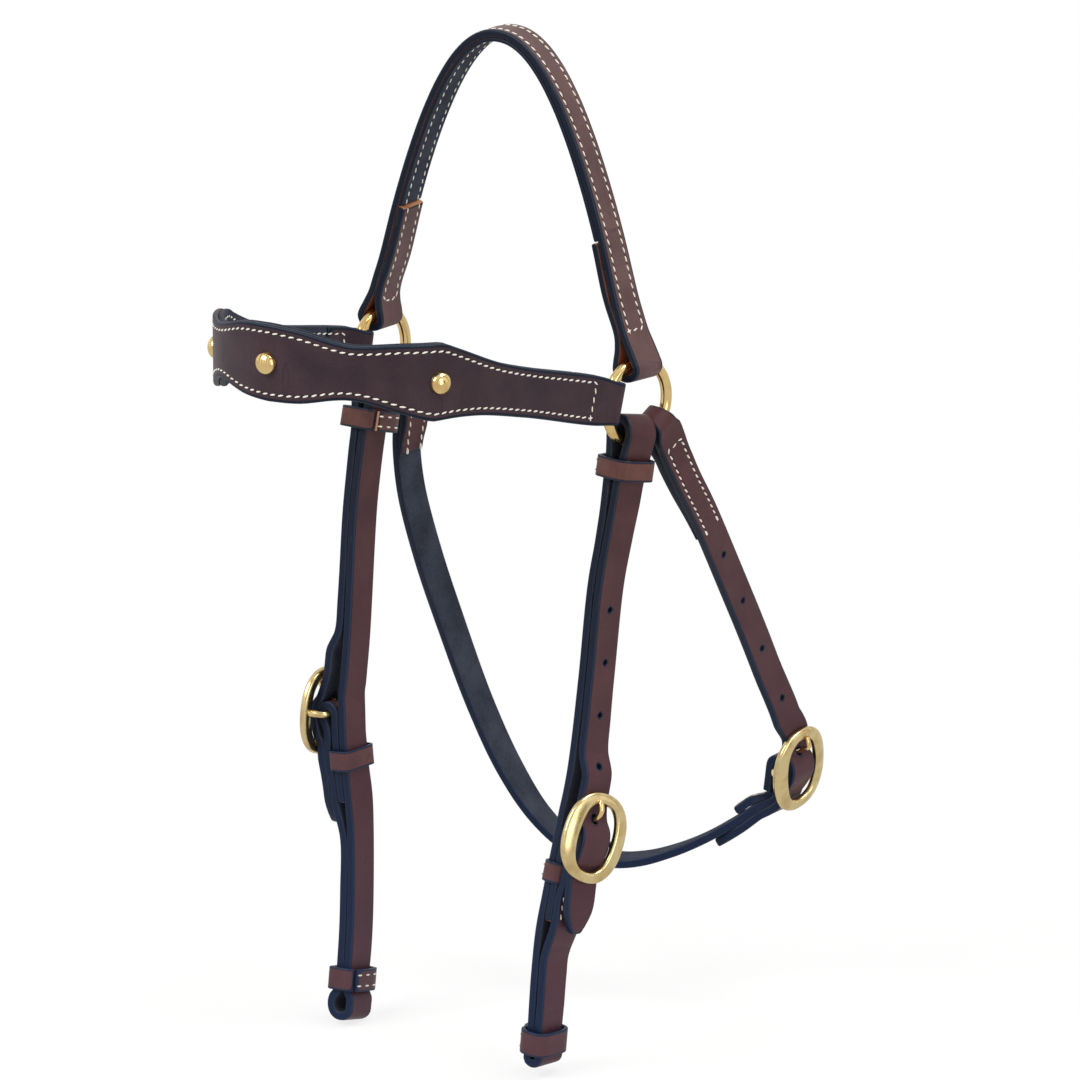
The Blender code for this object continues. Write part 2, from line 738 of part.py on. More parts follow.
def buckle(name, line, bar, height):
    """An oval frame with its centre bar set back behind it, at a place on a line of straps."""
    half_long = (FRAME_LENGTH - FRAME_END) / 2
    half_wide = (FRAME_WIDTH - FRAME_SIDE) / 2
    thick = FRAME_SIDE / 2
    points, radii = [], []
    for step in range(28):
        angle = 2 * math.pi * step / 28
        c, s = math.cos(angle), math.sin(angle)
        power = 2 / 2.35
        up = math.copysign(abs(c) ** power, c) * half_long
        side = math.copysign(abs(s) ** power, s) * half_wide
        points.append((up, side, 0.0))
        radii.append(1.0 - (1.0 - FRAME_END / FRAME_SIDE) * c * c)
    frame = curve_mesh(name, points, thick, radii, cyclic=True)
    flatten = Matrix.Diagonal((1.0, 1.0, FRAME_THICKNESS / FRAME_SIDE, 1.0))
    frame.data.transform(Matrix.Translation((0.0, 0.0, FRAME_OFFSET)) @ flatten)
    rise = FRAME_OFFSET
    bar_points = [
        (0.0, -half_wide, rise), (0.0, -half_wide + 0.0006, rise * 0.55),
        (0.0, -half_wide + 0.0026, rise * 0.12), (0.0, -half_wide + 0.0048, 0.0),
        (0.0, half_wide - 0.0048, 0.0), (0.0, half_wide - 0.0026, rise * 0.12),
        (0.0, half_wide - 0.0006, rise * 0.55), (0.0, half_wide, rise),
    ]
    rod = curve_mesh(name + "_bar", bar_points, BAR_RADIUS)
    cut(frame, rod, "UNION")
    solid = baked(frame)
    remove(frame)
    remove(rod)
    solid.name = name
    obj = link(bpy.data.objects.new(name, solid))
    obj.matrix_world = buckle_matrix(line, bar, height) @ Matrix.Rotation(FRAME_TILT, 4, "Y")
    return finish(obj, BRASS)


def buckle_matrix(line, bar, height):
    """Where a buckle's bar sits: X up the strap, Y along the bar and Z outwards."""
    point, tangent, across, outward = line.at(bar)
    rotation = Matrix((-tangent, -across, outward)).transposed()
    return Matrix.Translation(point + height * outward) @ rotation.to_4x4()


def prong(name, line, bar, height):
    """The tongue: it loops round the bar, passes the billet's hole and lies on the frame's top end."""
    loop = BAR_RADIUS + CLEARANCE + PRONG_RADIUS
    leave = math.radians(-37)
    points = []
    for step in range(11):
        angle = math.radians(72) + (2 * math.pi + leave - math.radians(72)) * step / 10
        points.append((loop * math.cos(angle), 0.0, loop * math.sin(angle)))
    up, out = tilted((FRAME_LENGTH - FRAME_END) / 2, FRAME_OFFSET)
    rest = out + FRAME_THICKNESS / 2 + CLEARANCE + PRONG_RADIUS
    heading = Vector((-math.sin(leave), math.cos(leave)))
    start = Vector((points[-1][0], points[-1][2]))
    for distance in (0.004, 0.0085, 0.0115):
        spot = start + heading * distance
        points.append((spot.x, 0.0, spot.y))
    knee = points[-1]
    points.append((knee[0] + 0.0028, 0.0, knee[2] + 0.0006))
    points.append((up - 0.0045, 0.0, rest + 0.0022))
    points.append((up, 0.0, rest + 0.0002))
    points.append((up + 0.0014, 0.0, rest - 0.0002))
    radii = [1.0] * (len(points) - 3) + [0.95, 0.85, 0.6]
    obj = curve_mesh(name, points, PRONG_RADIUS, radii, resolution=1)
    obj.matrix_world = buckle_matrix(line, bar, height)
    return finish(obj, BRASS)


def keeper(name, line, distance, low, high):
    """A leather loop round the layers between the offsets low and high."""
    inner_wide = STRAP_WIDTH / 2 + KEEPER_SIDE_CLEARANCE
    inner_high = (high - low) / 2 + KEEPER_CLEARANCE
    curve = bpy.data.curves.new(name, "CURVE")
    curve.dimensions = "2D"
    curve.fill_mode = "BOTH"
    curve.extrude = KEEPER_HEIGHT / 2
    for grow, corner in ((0.0, 0.0008), (KEEPER_LEATHER, 0.0028)):
        wide, deep = inner_wide + grow, inner_high + grow
        spline = curve.splines.new("POLY")
        outline = []
        for quarter in range(4):
            for step in range(4):
                angle = math.pi / 2 * (quarter + step / 3)
                sx = 1 if quarter in (0, 3) else -1
                sy = 1 if quarter in (0, 1) else -1
                x = sx * (wide - corner) + corner * math.cos(angle)
                y = sy * (deep - corner) + corner * math.sin(angle)
                outline.append((x, y))
        spline.points.add(len(outline) - 1)
        for i, (x, y) in enumerate(outline):
            spline.points[i].co = (x, y, 0.0, 1.0)
        spline.use_cyclic_u = True
    loop = link(bpy.data.objects.new(name + "_curve", curve))
    mesh = baked(loop)
    bpy.data.objects.remove(loop)
    bpy.data.curves.remove(curve)
    face_outwards(mesh)
    mesh.name = name
    obj = link(bpy.data.objects.new(name, mesh))
    point, tangent, across, outward = line.at(distance)
    rotation = Matrix((across, outward, tangent)).transposed()
    middle = point + (low + high) / 2 * outward
    obj.matrix_world = Matrix.Translation(middle) @ rotation.to_4x4()
    return finish(obj, LEATHER_RED)


def billet_edges(length):
    """A billet's outline: straight, then tapering to a blunt point at its end."""

    def outline(s):
        part = min(max(length - s, 0.0) / TIP_LENGTH, 1.0)
        half = TIP_WIDTH / 2 + (STRAP_WIDTH - TIP_WIDTH) / 2 * math.sin(part * math.pi / 2) ** 0.8
        return -half, half

    return outline


def with_waist(outline, crest):
    """The same outline, narrower near the crest, where the throatlash folds beside the cheek."""

    def waisted(s):
        front, back = outline(s)
        ease = min(abs(s - crest) / WAIST_LENGTH, 1.0)
        narrow = 1 - ease**1.5
        return front + WAIST_FRONT * narrow, back - WAIST_BACK * narrow

    return waisted


def billet_holes(route, line, bar, height, pitch):
    """The hole that the prong is in, and the spare ones above it."""
    frame = buckle_matrix(line, bar, height)
    through = frame @ Vector((PRONG_PLACE[0], 0.0, PRONG_PLACE[1]))
    prong_hole = route.nearest(through)
    holes = [(prong_hole, PRONG_HOLE_LENGTH, HOLE_RADIUS * 2)]
    for step in range(1, HOLE_COUNT + 1):
        holes.append((prong_hole - step * pitch, HOLE_RADIUS * 2, HOLE_RADIUS * 2))
    return holes


def slot_at_fold(route, line, bar, height):
    """The slot that lets the prong's loop turn on the bar."""
    frame = buckle_matrix(line, bar, height)
    crest = route.nearest(frame @ Vector((FOLD, 0.0, 0.0)))
    return (crest, FOLD * math.pi + 0.0126, PRONG_SLOT)


def cheek(side):
    line = cheek_line(side)
    sizes = CHEEK_ROUTES[side]
    bar = sizes["bar"]
    height = LAYER + FOLD
    ring_eye = eye(**CHEEK_EYE)
    deep, wide = sizes["bit_loop"], BIT_LOOP_HALF_WIDTH
    bit_eye = [
        (deep, -LAYER), (deep * 0.80, -LAYER * 1.5), (deep * 0.60, -wide * 0.92),
        (deep * 0.40, -wide), (deep * 0.20, -wide * 0.80), (deep * 0.08, -wide * 0.34),
    ]
    bit_eye += [(u, -h) for u, h in reversed(bit_eye)]
    end = line.length
    front = LAYER + PITCH
    down = [
        (bar + 0.006, front + 0.0022), (bar + 0.0105, front), (bar + 0.030, front),
        (bar + CHEEK_TURN_BACK, front), (bar + CHEEK_TURN_BACK + 0.020, LAYER),
        ((bar + CHEEK_TURN_BACK + 0.020 + end - 0.04) / 2, LAYER), (end - 0.034, LAYER),
    ]
    back = [(u, -LAYER) for u in np.linspace(end - 0.034, 0.032, 24)]
    billet = [(u, LAYER) for u in np.linspace(0.032, bar - 0.085, 10)]
    billet += [(bar - 0.062, LAYER + 0.0003), (bar - 0.045, LAYER + 0.0010)]
    through = billet_through(bar, height)
    lift = through[-1][1]
    tail = [(bar + sizes["tip"] - 0.018, lift), (bar + sizes["tip"], lift)]
    profile = [(bar + CHEEK_TURN_BACK, LAYER), (bar + 0.024, LAYER), (bar + 0.006, LAYER)]
    profile += bar_fold(bar, height) + down + at_far_end(end, bit_eye)
    profile += back + ring_eye + billet + through + tail
    route = strap_route(line, profile, bar)
    holes = billet_holes(route, line, bar, height, CHEEK_HOLE_PITCH)
    holes.append(slot_at_fold(route, line, bar, height))
    outline = billet_edges(route.length)
    crest = route.nearest(line.place(end, 0.0, 0.0))
    marks = [s for s in stations(route, line, line_marks(line)) if abs(s - crest) > BIT_SEAT * 1.3]
    marks = sorted(marks + [crest - BIT_SEAT, crest + BIT_SEAT])
    name = f"cheek_strap_{side}"
    strap = bend_strap(name, route, marks, LEATHER_BROWN, outline=outline, holes=holes)
    set_origin(strap, ring_bottom(side))
    buckle(f"cheek_buckle_{side}", line, bar, height)
    prong(f"cheek_prong_{side}", line, bar, height)
    outside = LAYER + THICK / 2
    keeper(f"keeper_top_{side}", line, TOP_KEEPER, -outside - TOP_KEEPER_SLACK, outside + TOP_KEEPER_SLACK)
    keeper(f"keeper_middle_{side}", line, bar + sizes["middle_keeper"], -outside, outside + PITCH)
    keeper(f"keeper_bottom_{side}", line, end - sizes["bottom_keeper"], -outside, outside)


def throatlash():
    line = throatlash_line()
    bar = THROAT_BAR
    height = -LAYER + FOLD
    end = line.length
    ring_eye = eye(**THROAT_EYE)
    down = [(bar + 0.008, height + FOLD - 0.0006), (bar + 0.018, LAYER + 0.0008), (bar + 0.032, LAYER)]
    along = [(u, LAYER) for u in np.linspace(bar + 0.045, end - 0.026, 26)]
    profile = [(bar + THROAT_TURN_BACK, -LAYER), (bar + 0.020, -LAYER), (bar + 0.006, -LAYER)]
    profile += bar_fold(bar, height) + down + along + at_far_end(end, ring_eye)
    profile += [(end - 0.030, -LAYER), (end - RING_TURN_BACK, -LAYER)]
    route = strap_route(line, profile, bar)
    outline = with_waist(straight_edges, route.nearest(line.place(end + THROAT_EYE["depth"], 0.0, 0.0)))
    slot = slot_at_fold(route, line, bar, height)
    level = line_marks(line)
    marks = stations(route, line, level)
    strap = bend_strap(
        "throatlash_strap", route, marks, LEATHER_BROWN, outline=outline, holes=[slot]
    )
    set_origin(strap, ring_centre("left"))

    through = billet_through(bar, height)
    lift = through[-1][1]
    profile = [(BILLET_TURN_BACK, -LAYER), (BILLET_TURN_BACK * 0.6, -LAYER), (0.030, -LAYER)]
    profile += ring_eye + [(u, LAYER) for u in np.linspace(0.030, bar - 0.085, 9)]
    profile += [(bar - 0.060, LAYER - 0.0006)] + through
    profile += [(bar + THROAT_TIP - 0.018, lift + 0.0004), (bar + THROAT_TIP, lift + 0.0006)]
    route = strap_route(line, profile, bar)
    crest = route.nearest(line.place(-THROAT_EYE["depth"], 0.0, 0.0))
    outline = with_waist(billet_edges(route.length), crest)
    holes = billet_holes(route, line, bar, height, THROAT_HOLE_PITCH)
    marks = stations(route, line, level)
    billet = bend_strap(
        "throatlash_billet", route, marks, LEATHER_BROWN, outline=outline, holes=holes
    )
    set_origin(billet, ring_centre("right"))
    buckle("throatlash_buckle", line, bar, height)
    prong("throatlash_prong", line, bar, height)


for old in list(bpy.data.objects):
    bpy.data.objects.remove(old)

PARTS = bpy.data.collections.new("barcoo_bridle")
CUTTERS = bpy.data.collections.new("cutters")
bpy.context.scene.collection.children.link(PARTS)
bpy.context.scene.collection.children.link(CUTTERS)

LEATHER_BROWN = make_material("brown_leather", (0.085, 0.036, 0.033), 0.45)
LEATHER_DARK = make_material("dark_brown_leather", (0.056, 0.032, 0.036), 0.45)
LEATHER_RED = make_material("red_brown_leather", (0.105, 0.040, 0.033), 0.42)
LEATHER_BLACK = make_material("black_lining_leather", (0.016, 0.019, 0.026), 0.60)
BRASS = make_material("polished_brass", (0.78, 0.56, 0.22), 0.20, metallic=1.0)

headpiece()
browband()
for name in ("right", "left"):
    ring(name)
    cheek(name)
throatlash()
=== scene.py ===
import math

import bmesh
import bpy
import numpy as np
from mathutils import Matrix, Vector


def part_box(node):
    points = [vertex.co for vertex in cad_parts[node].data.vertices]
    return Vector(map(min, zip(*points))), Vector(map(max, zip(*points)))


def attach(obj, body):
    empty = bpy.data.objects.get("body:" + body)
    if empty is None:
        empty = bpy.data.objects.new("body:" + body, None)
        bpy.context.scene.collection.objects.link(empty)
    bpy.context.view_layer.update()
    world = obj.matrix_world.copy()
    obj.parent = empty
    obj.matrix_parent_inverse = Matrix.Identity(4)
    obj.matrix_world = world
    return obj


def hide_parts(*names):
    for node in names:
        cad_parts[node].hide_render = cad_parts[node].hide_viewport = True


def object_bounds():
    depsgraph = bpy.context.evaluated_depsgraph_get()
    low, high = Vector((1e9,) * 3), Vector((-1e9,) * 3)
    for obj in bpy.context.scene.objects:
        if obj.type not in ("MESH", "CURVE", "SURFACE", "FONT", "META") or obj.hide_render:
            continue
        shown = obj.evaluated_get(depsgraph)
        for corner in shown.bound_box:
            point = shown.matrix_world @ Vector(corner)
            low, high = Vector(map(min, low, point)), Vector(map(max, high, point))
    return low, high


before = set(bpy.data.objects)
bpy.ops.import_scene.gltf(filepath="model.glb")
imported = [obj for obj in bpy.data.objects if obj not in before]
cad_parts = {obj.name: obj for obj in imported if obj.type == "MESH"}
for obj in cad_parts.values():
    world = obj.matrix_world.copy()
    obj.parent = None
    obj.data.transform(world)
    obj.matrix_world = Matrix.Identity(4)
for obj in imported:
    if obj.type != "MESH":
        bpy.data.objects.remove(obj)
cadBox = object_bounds()
print("frame loaded")


# helpers for places, paths and nodes

def smoothPath(points, perSpan=16):
    # a centripetal Catmull-Rom curve through rows of numbers; the first two or three are the place
    rows = np.array(points, dtype=float)
    rows = np.vstack([2 * rows[0] - rows[1], rows, 2 * rows[-1] - rows[-2]])
    place = rows[:, : min(3, rows.shape[1])]
    knots = [0.0]
    for a, b in zip(place[:-1], place[1:]):
        knots.append(knots[-1] + max(np.linalg.norm(b - a), 1e-9) ** 0.5)
    dense = []
    for i in range(1, len(rows) - 2):
        k = knots[i - 1 : i + 3]
        for t in np.linspace(k[1], k[2], perSpan, endpoint=False):
            level = rows[i - 1 : i + 3]
            for spans in (((0, 1), (1, 2), (2, 3)), ((0, 2), (1, 3)), ((1, 2),)):
                level = [(k[b] - t) / (k[b] - k[a]) * level[n] + (t - k[a]) / (k[b] - k[a]) * level[n + 1]
                         for n, (a, b) in enumerate(spans)]
            dense.append(level[0])
    dense.append(rows[-2])
    return np.array(dense)


def unit(vectors):
    return vectors / np.linalg.norm(vectors, axis=-1, keepdims=True)


class Path:
    # a route in space that knows the direction of a strap's width all along it

    def __init__(self, points, across):
        self.points = np.array(points, dtype=float)
        self.along = np.concatenate([[0.0], np.cumsum(np.linalg.norm(np.diff(self.points, axis=0), axis=1))])
        self.length = float(self.along[-1])
        self.tangent = unit(np.gradient(self.points, self.along, axis=0))
        self.across = np.array(across, dtype=float)

    def at(self, s):
        # place, direction, width direction and outward direction at the distances s
        s = np.asarray(s, dtype=float)
        inside = np.clip(s, 0.0, self.length)
        pick = lambda table: np.stack([np.interp(inside, self.along, table[:, k]) for k in range(3)], axis=-1)
        tangent = unit(pick(self.tangent))
        across = pick(self.across)
        across = unit(across - (across * tangent).sum(-1, keepdims=True) * tangent)
        point = pick(self.points) + (s - inside)[..., None] * tangent
        return point, tangent, across, np.cross(tangent, across)

    def place(self, s, v, n):
        point, _, across, outward = self.at(s)
        v, n = [np.asarray(part, dtype=float)[..., None] for part in (v, n)]
        return point + v * across + n * outward

    def nearest(self, point):
        start, step = self.points[:-1], np.diff(self.points, axis=0)
        reach = np.array(point) - start
        part = np.clip((reach * step).sum(axis=1) / (step * step).sum(axis=1), 0.0, 1.0)
        i = int(np.argmin(np.linalg.norm(part[:, None] * step - reach, axis=1)))
        return float(self.along[i] + part[i] * (self.along[i + 1] - self.along[i]))


def linear(hexText):
    # an sRGB hex value as Blender's linear colour
    parts = [int(hexText[i : i + 2], 16) / 255 for i in (1, 3, 5)]
    return (*[c / 12.92 if c <= 0.04045 else ((c + 0.055) / 1.055) ** 2.4 for c in parts], 1.0)


def addNode(tree, kind, inputs=(), **settings):
    # adds a node, sets its properties and fills its inputs, by name or in their order, with values,
    # hex colours or other nodes' outputs
    node = tree.nodes.new(kind)
    for key, value in settings.items():
        setattr(node, key, value)
    for key, value in inputs.items() if isinstance(inputs, dict) else enumerate(inputs):
        socket = node.inputs[key]
        if isinstance(value, bpy.types.NodeSocket):
            tree.links.new(value, socket)
        else:
            socket.default_value = linear(value) if str(value).startswith("#") else value
    return node.outputs


def nodesOf(owner):
    # addNode for the emptied shader tree of a material or world
    owner.use_nodes = True
    owner.node_tree.nodes.clear()
    return lambda kind, inputs=(), **rest: addNode(owner.node_tree, "ShaderNode" + kind, inputs, **rest)


def linked(name, data):
    obj = bpy.data.objects.new(name, data)
    bpy.context.scene.collection.objects.link(obj)
    return obj


def newMesh(name, vertices, faces):
    mesh = bpy.data.meshes.new(name)
    mesh.from_pydata([tuple(vertex) for vertex in vertices], [], faces)
    mesh.update()
    return linked(name, mesh)


def solidMesh(name, vertices, faces):
    # a closed mesh with its doubles merged and its faces outwards
    obj = newMesh(name, vertices, faces)
    bm = bmesh.new()
    bm.from_mesh(obj.data)
    bmesh.ops.remove_doubles(bm, verts=bm.verts, dist=1e-6)
    bmesh.ops.recalc_face_normals(bm, faces=bm.faces)
    bm.to_mesh(obj.data)
    bm.free()
    return obj


def tubeFaces(rings, count, closed=False, capped=True):
    # the faces between neighbouring rings of points, and over the two ends
    faces, total = [], rings * count
    for i in range(rings if closed else rings - 1):
        for j in range(count):
            a, b = i * count + j, i * count + (j + 1) % count
            faces.append((a, b, (b + count) % total, (a + count) % total))
    if capped and not closed:
        faces.append(tuple(range(count)))
        faces.append(tuple(total - count + j for j in reversed(range(count))))
    return faces


def baked(obj):
    graph = bpy.context.evaluated_depsgraph_get()
    graph.update()
    return bpy.data.meshes.new_from_object(obj.evaluated_get(graph))


def discard(obj):
    mesh = obj.data
    bpy.data.objects.remove(obj)
    bpy.data.meshes.remove(mesh)


# camera

ringLevel = float(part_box("ring_right")[0][2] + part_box("ring_right")[1][2]) / 2

view = {
    "azimuth": math.radians(40.0),
    "elevation": math.radians(15.2),
    "distance": 4.5,
    "lens": 280.5,
    "right": 0.0175,   # of the middle between the rings to the frame's centre
    "up": -0.088,
}

az, el = view["azimuth"], view["elevation"]
toCamera = Vector((math.sin(az) * math.cos(el), -math.cos(az) * math.cos(el), math.sin(el)))
screenRight = Vector((math.cos(az), math.sin(az), 0.0))
screenUp = Vector((-math.sin(az) * math.sin(el), math.cos(az) * math.sin(el), math.cos(el)))
lookAt = Vector((0.0, 0.0, ringLevel)) + screenRight * view["right"] + screenUp * view["up"]
cameraData = bpy.data.cameras.new("camera")
cameraData.lens = view["lens"]
cameraData.sensor_width = 36.0
cameraData.clip_end = 60.0
camera = linked("camera", cameraData)
camera.location = lookAt + toCamera * view["distance"]
camera.rotation_euler = Matrix((screenRight, screenUp, toCamera)).transposed().to_euler()
bpy.context.scene.camera = camera


# materials

# the edges' own ink, also the colour of the painted shade in wrinkles and stitch grooves
# the rubbed colour is both real wear streaked on the edges and the painted highlight along the arris
edgeInkAndCreaseShade, rubbedEdgeAndArrisHighlight = "#0a1322", "#2f3b4c"


def bridleLeather(name, face, shade, ink=0.0006, gloss=0.40):
    # drum-dyed cowhide with waxed grain and inked, rubbed edges: a soft sheen on the face, and edges
    # that are smoother and nearly black. The pores are drawn at 0.9 mm, or they wouldn't show.
    material = bpy.data.materials.new(name)
    add = nodesOf(material)
    place = add("TexCoord")["Object"]
    cut = add("UVMap", uv_map="cut")["UV"]
    rim = add("Attribute", attribute_name="rim")["Fac"]
    grooveShade = add("Attribute", attribute_name="grooveShade")["Fac"]
    cloudy = add("TexNoise", {"Vector": place, "Scale": 42.0, "Detail": 4.0, "Roughness": 0.55})["Fac"]
    pores = add("TexNoise", {"Vector": cut, "Scale": 1100.0, "Detail": 3.0, "Roughness": 0.6})["Fac"]
    stretch = add("Mapping", {"Vector": cut, "Scale": (60.0, 900.0, 1.0)})["Vector"]
    streaks = add("TexNoise", {"Vector": stretch, "Scale": 1.0, "Detail": 3.0})["Fac"]
    dye = add("MapRange", [cloudy, 0.32, 0.68])["Result"]
    colour = add("Mix", {"Factor": dye, "A": shade, "B": face}, data_type="RGBA")["Result"]
    poreMask = add("MapRange", [pores, 0.30, 0.55, 0.80, 1.0])["Result"]
    colour = add("Mix", {"Factor": 1.0, "A": colour, "B": poreMask}, data_type="RGBA", blend_type="MULTIPLY")
    colour = colour["Result"]

    # painted shade in wrinkles as thin as a hair, along the lines where a long noise passes its middle
    lengthwise = add("Mapping", {"Vector": cut, "Scale": (55.0, 9.0, 1.0)})["Vector"]
    bends = add("TexNoise", {"Vector": lengthwise, "Scale": 1.0, "Detail": 1.0})["Fac"]
    fromMiddle = add("Math", [add("Math", [bends, 0.5], operation="SUBTRACT")[0]], operation="ABSOLUTE")[0]
    hairline = add("MapRange", [fromMiddle, 0.0, 0.006, 1.0, 0.0])["Result"]
    someOf = add("MapRange", [cloudy, 0.48, 0.62, 0.0, 0.38])["Result"]
    wrinkleShade = add("Math", [hairline, someOf], operation="MULTIPLY")[0]

    # pale specks, in one cell of five
    cells = add("TexVoronoi", {"Vector": place, "Scale": 120.0})
    dots = add("MapRange", [cells["Distance"], 0.020, 0.045, 1.0, 0.0])["Result"]
    rare = add("Math", [add("SeparateColor", [cells["Color"]])["Red"], 0.80], operation="GREATER_THAN")[0]
    for amount in (rare, 0.45):
        dots = add("Math", [dots, amount], operation="MULTIPLY")[0]

    # painted cool shade: the straps and their edges turn cooler towards their lower ends
    paintedLowShade = add("MapRange", [add("SeparateXYZ", [place])["Z"], -0.22, -0.54, 0.0, 0.6])["Result"]
    for amount, over in ((wrinkleShade, edgeInkAndCreaseShade), (dots, "#8a4f3c"), (paintedLowShade, "#4a3340")):
        colour = add("Mix", {"Factor": amount, "A": colour, "B": over}, data_type="RGBA")["Result"]
    scuffs = add("MapRange", [streaks, 0.62, 0.76, 0.0, 0.35])["Result"]
    # painted highlight: a thin lighter line along the arris between the inked edge and the face
    arrisHighlightIn = add("MapRange", [rim, 0.0, 0.00035])["Result"]
    arrisHighlightOut = add("MapRange", [rim, 0.00045, 0.00095, 1.0, 0.0])["Result"]
    line = add("Math", [add("Math", [arrisHighlightIn, arrisHighlightOut], operation="MULTIPLY")[0], 0.55], operation="MULTIPLY")[0]
    inkColour = edgeInkAndCreaseShade
    for amount, over in ((scuffs, rubbedEdgeAndArrisHighlight), (paintedLowShade, "#16284a"), (line, rubbedEdgeAndArrisHighlight)):
        inkColour = add("Mix", {"Factor": amount, "A": inkColour, "B": over}, data_type="RGBA")["Result"]
    inked = add("Math", [cloudy, ink, ink * 0.7], operation="MULTIPLY_ADD")[0]
    inkedEnd = add("Math", [inked, 0.0008], operation="ADD")[0]
    onFace = add("MapRange", [rim, inked, inkedEnd], interpolation_type="SMOOTHSTEP")["Result"]
    # painted shade in the stitch groove along the crease
    grooveShadeAmount = add("Math", [grooveShade, 0.62], operation="MULTIPLY")[0]
    colour = add("Mix", {"Factor": onFace, "A": inkColour, "B": colour}, data_type="RGBA")["Result"]
    colour = add("Mix", {"Factor": grooveShadeAmount, "A": colour, "B": edgeInkAndCreaseShade}, data_type="RGBA")["Result"]
    rough = add("MapRange", [pores, 0.0, 1.0, gloss - 0.08, gloss + 0.12])["Result"]
    relief = add("Math", [pores, onFace], operation="MULTIPLY")[0]
    relief = add("Math", [streaks, relief], operation="ADD")[0]
    bump = add("Bump", {"Strength": 0.35, "Distance": 0.00012, "Height": relief})["Normal"]
    shader = add("BsdfPrincipled", {"Base Color": colour, "Roughness": rough, "IOR": 1.5,
                                    "Specular IOR Level": 0.17, "Normal": bump})["BSDF"]
    add("OutputMaterial", {"Surface": shader})
    return material


def fleshSide(name, light, dark):
    # the back of the hide, sealed but unpolished: matt, with short fibres that lie along the strap
    material = bpy.data.materials.new(name)
    add = nodesOf(material)
    place = add("TexCoord")["Object"]
    cut = add("UVMap", uv_map="cut")["UV"]
    stretch = add("Mapping", {"Vector": cut, "Scale": (420.0, 1300.0, 1.0)})["Vector"]
    fibres = add("TexNoise", {"Vector": stretch, "Scale": 1.0, "Detail": 5.0, "Roughness": 0.7})["Fac"]
    cloudy = add("TexNoise", {"Vector": place, "Scale": 60.0, "Detail": 3.0})["Fac"]
    mixed = add("Math", [fibres, cloudy], operation="ADD")[0]
    spread = add("MapRange", [mixed, 0.72, 1.25])["Result"]
    colour = add("Mix", {"Factor": spread, "A": dark, "B": light}, data_type="RGBA")["Result"]
    bump = add("Bump", {"Strength": 0.5, "Distance": 0.0002, "Height": fibres})["Normal"]
    shader = add("BsdfPrincipled", {"Base Color": colour, "Roughness": 0.82, "IOR": 1.5,
                                    "Specular IOR Level": 0.18, "Normal": bump})["BSDF"]
    add("OutputMaterial", {"Surface": shader})
    return material


def castBrass(name, polished, worn, gloss):
    # cast, tumbled and hand-buffed brass: bright, with soft waves in the casting and hair scratches
    material = bpy.data.materials.new(name)
    add = nodesOf(material)
    place = add("TexCoord")["Object"]
    waves = add("TexNoise", {"Vector": place, "Scale": 130.0, "Detail": 1.0})["Fac"]
    stretch = add("Mapping", {"Vector": place, "Rotation": (0.4, 0.9, 0.3), "Scale": (2600.0, 260.0, 260.0)})["Vector"]
    hairs = add("TexNoise", {"Vector": stretch, "Scale": 1.0, "Detail": 4.0})["Fac"]
    tarnish = add("MapRange", [waves, 0.42, 0.72])["Result"]
    colour = add("Mix", {"Factor": tarnish, "A": polished, "B": worn}, data_type="RGBA")["Result"]
    rough = add("MapRange", [hairs, 0.35, 0.7, gloss, gloss + 0.06])["Result"]
    relief = add("Math", [hairs, 0.02, waves], operation="MULTIPLY_ADD")[0]
    bump = add("Bump", {"Strength": 0.08, "Distance": 0.0003, "Height": relief})["Normal"]
    shader = add("BsdfPrincipled", {"Base Color": colour, "Metallic": 1.0, "Roughness": rough, "Normal": bump})["BSDF"]
    add("OutputMaterial", {"Surface": shader})
    return material


def waxedThread():
    # bonded polyester thread, waxed: off-white, with its twist drawn as fine slanting bands
    material = bpy.data.materials.new("waxedThread")
    add = nodesOf(material)
    place = add("TexCoord")["Object"]
    twist = add("TexWave", {"Vector": place, "Scale": 900.0, "Distortion": 1.5}, bands_direction="DIAGONAL")["Fac"]
    colour = add("Mix", {"Factor": twist, "A": "#cfc5b4", "B": "#f1ebe0"}, data_type="RGBA")["Result"]
    bump = add("Bump", {"Strength": 0.3, "Distance": 0.0001, "Height": twist})["Normal"]
    shader = add("BsdfPrincipled", {"Base Color": colour, "Roughness": 0.55, "Normal": bump})["BSDF"]
    add("OutputMaterial", {"Surface": shader})
    return material


# the crown's brown is its own colour, made a little lighter in part as painted sheen
headLeather = bridleLeather("brownBridleLeather", "#664d4b", "#523d3c", ink=0.0008)
browLeather = bridleLeather("darkBridleLeather", "#402f35", "#31242b", ink=0.0011)
cheekLeather = bridleLeather("redBrownBridleLeather", "#543334", "#43292d")
# the keepers' redder leather is their own colour, made lighter in part as painted sheen
keeperLeather = bridleLeather("chestnutKeeperLeather", "#64413b", "#482f2d", gloss=0.32)
liningLeather = bridleLeather("blackLiningLeather", "#3a3c43", "#2b2d34", gloss=0.5)
blackFlesh = fleshSide("blackFleshSide", "#3a3e4b", "#20242f")
brownFlesh = fleshSide("brownFleshSide", "#7d4a32", "#4a2c22")
rawCut = fleshSide("rawCutLeather", "#c08a64", "#94603e")
brass = castBrass("castBrass", "#efd08f", "#dcb572", 0.12)
buckleBrass = castBrass("buckleBrass", "#e6cf98", "#d0b47c", 0.20)
thread = waxedThread()
print("materials made")


# leather straps, cut flat and then bent along their routes

leather = {
    "width": 0.0190,
    "thin": 0.0031,
    "thick": 0.0048,
    "gap": 0.0002,        # between layers that lie on each other
    "round": 0.0011,      # the rubbed edge's radius
    "stitchInset": 0.0040,
    "creaseDepth": 0.00022,
    "creaseHalf": 0.0006,
    "endRound": 0.0011,
    "endPart": 0.42,      # of the thickness, at a rounded end's tip
}


def plainWidth(s):
    return np.full(np.shape(s), leather["width"] / 2)


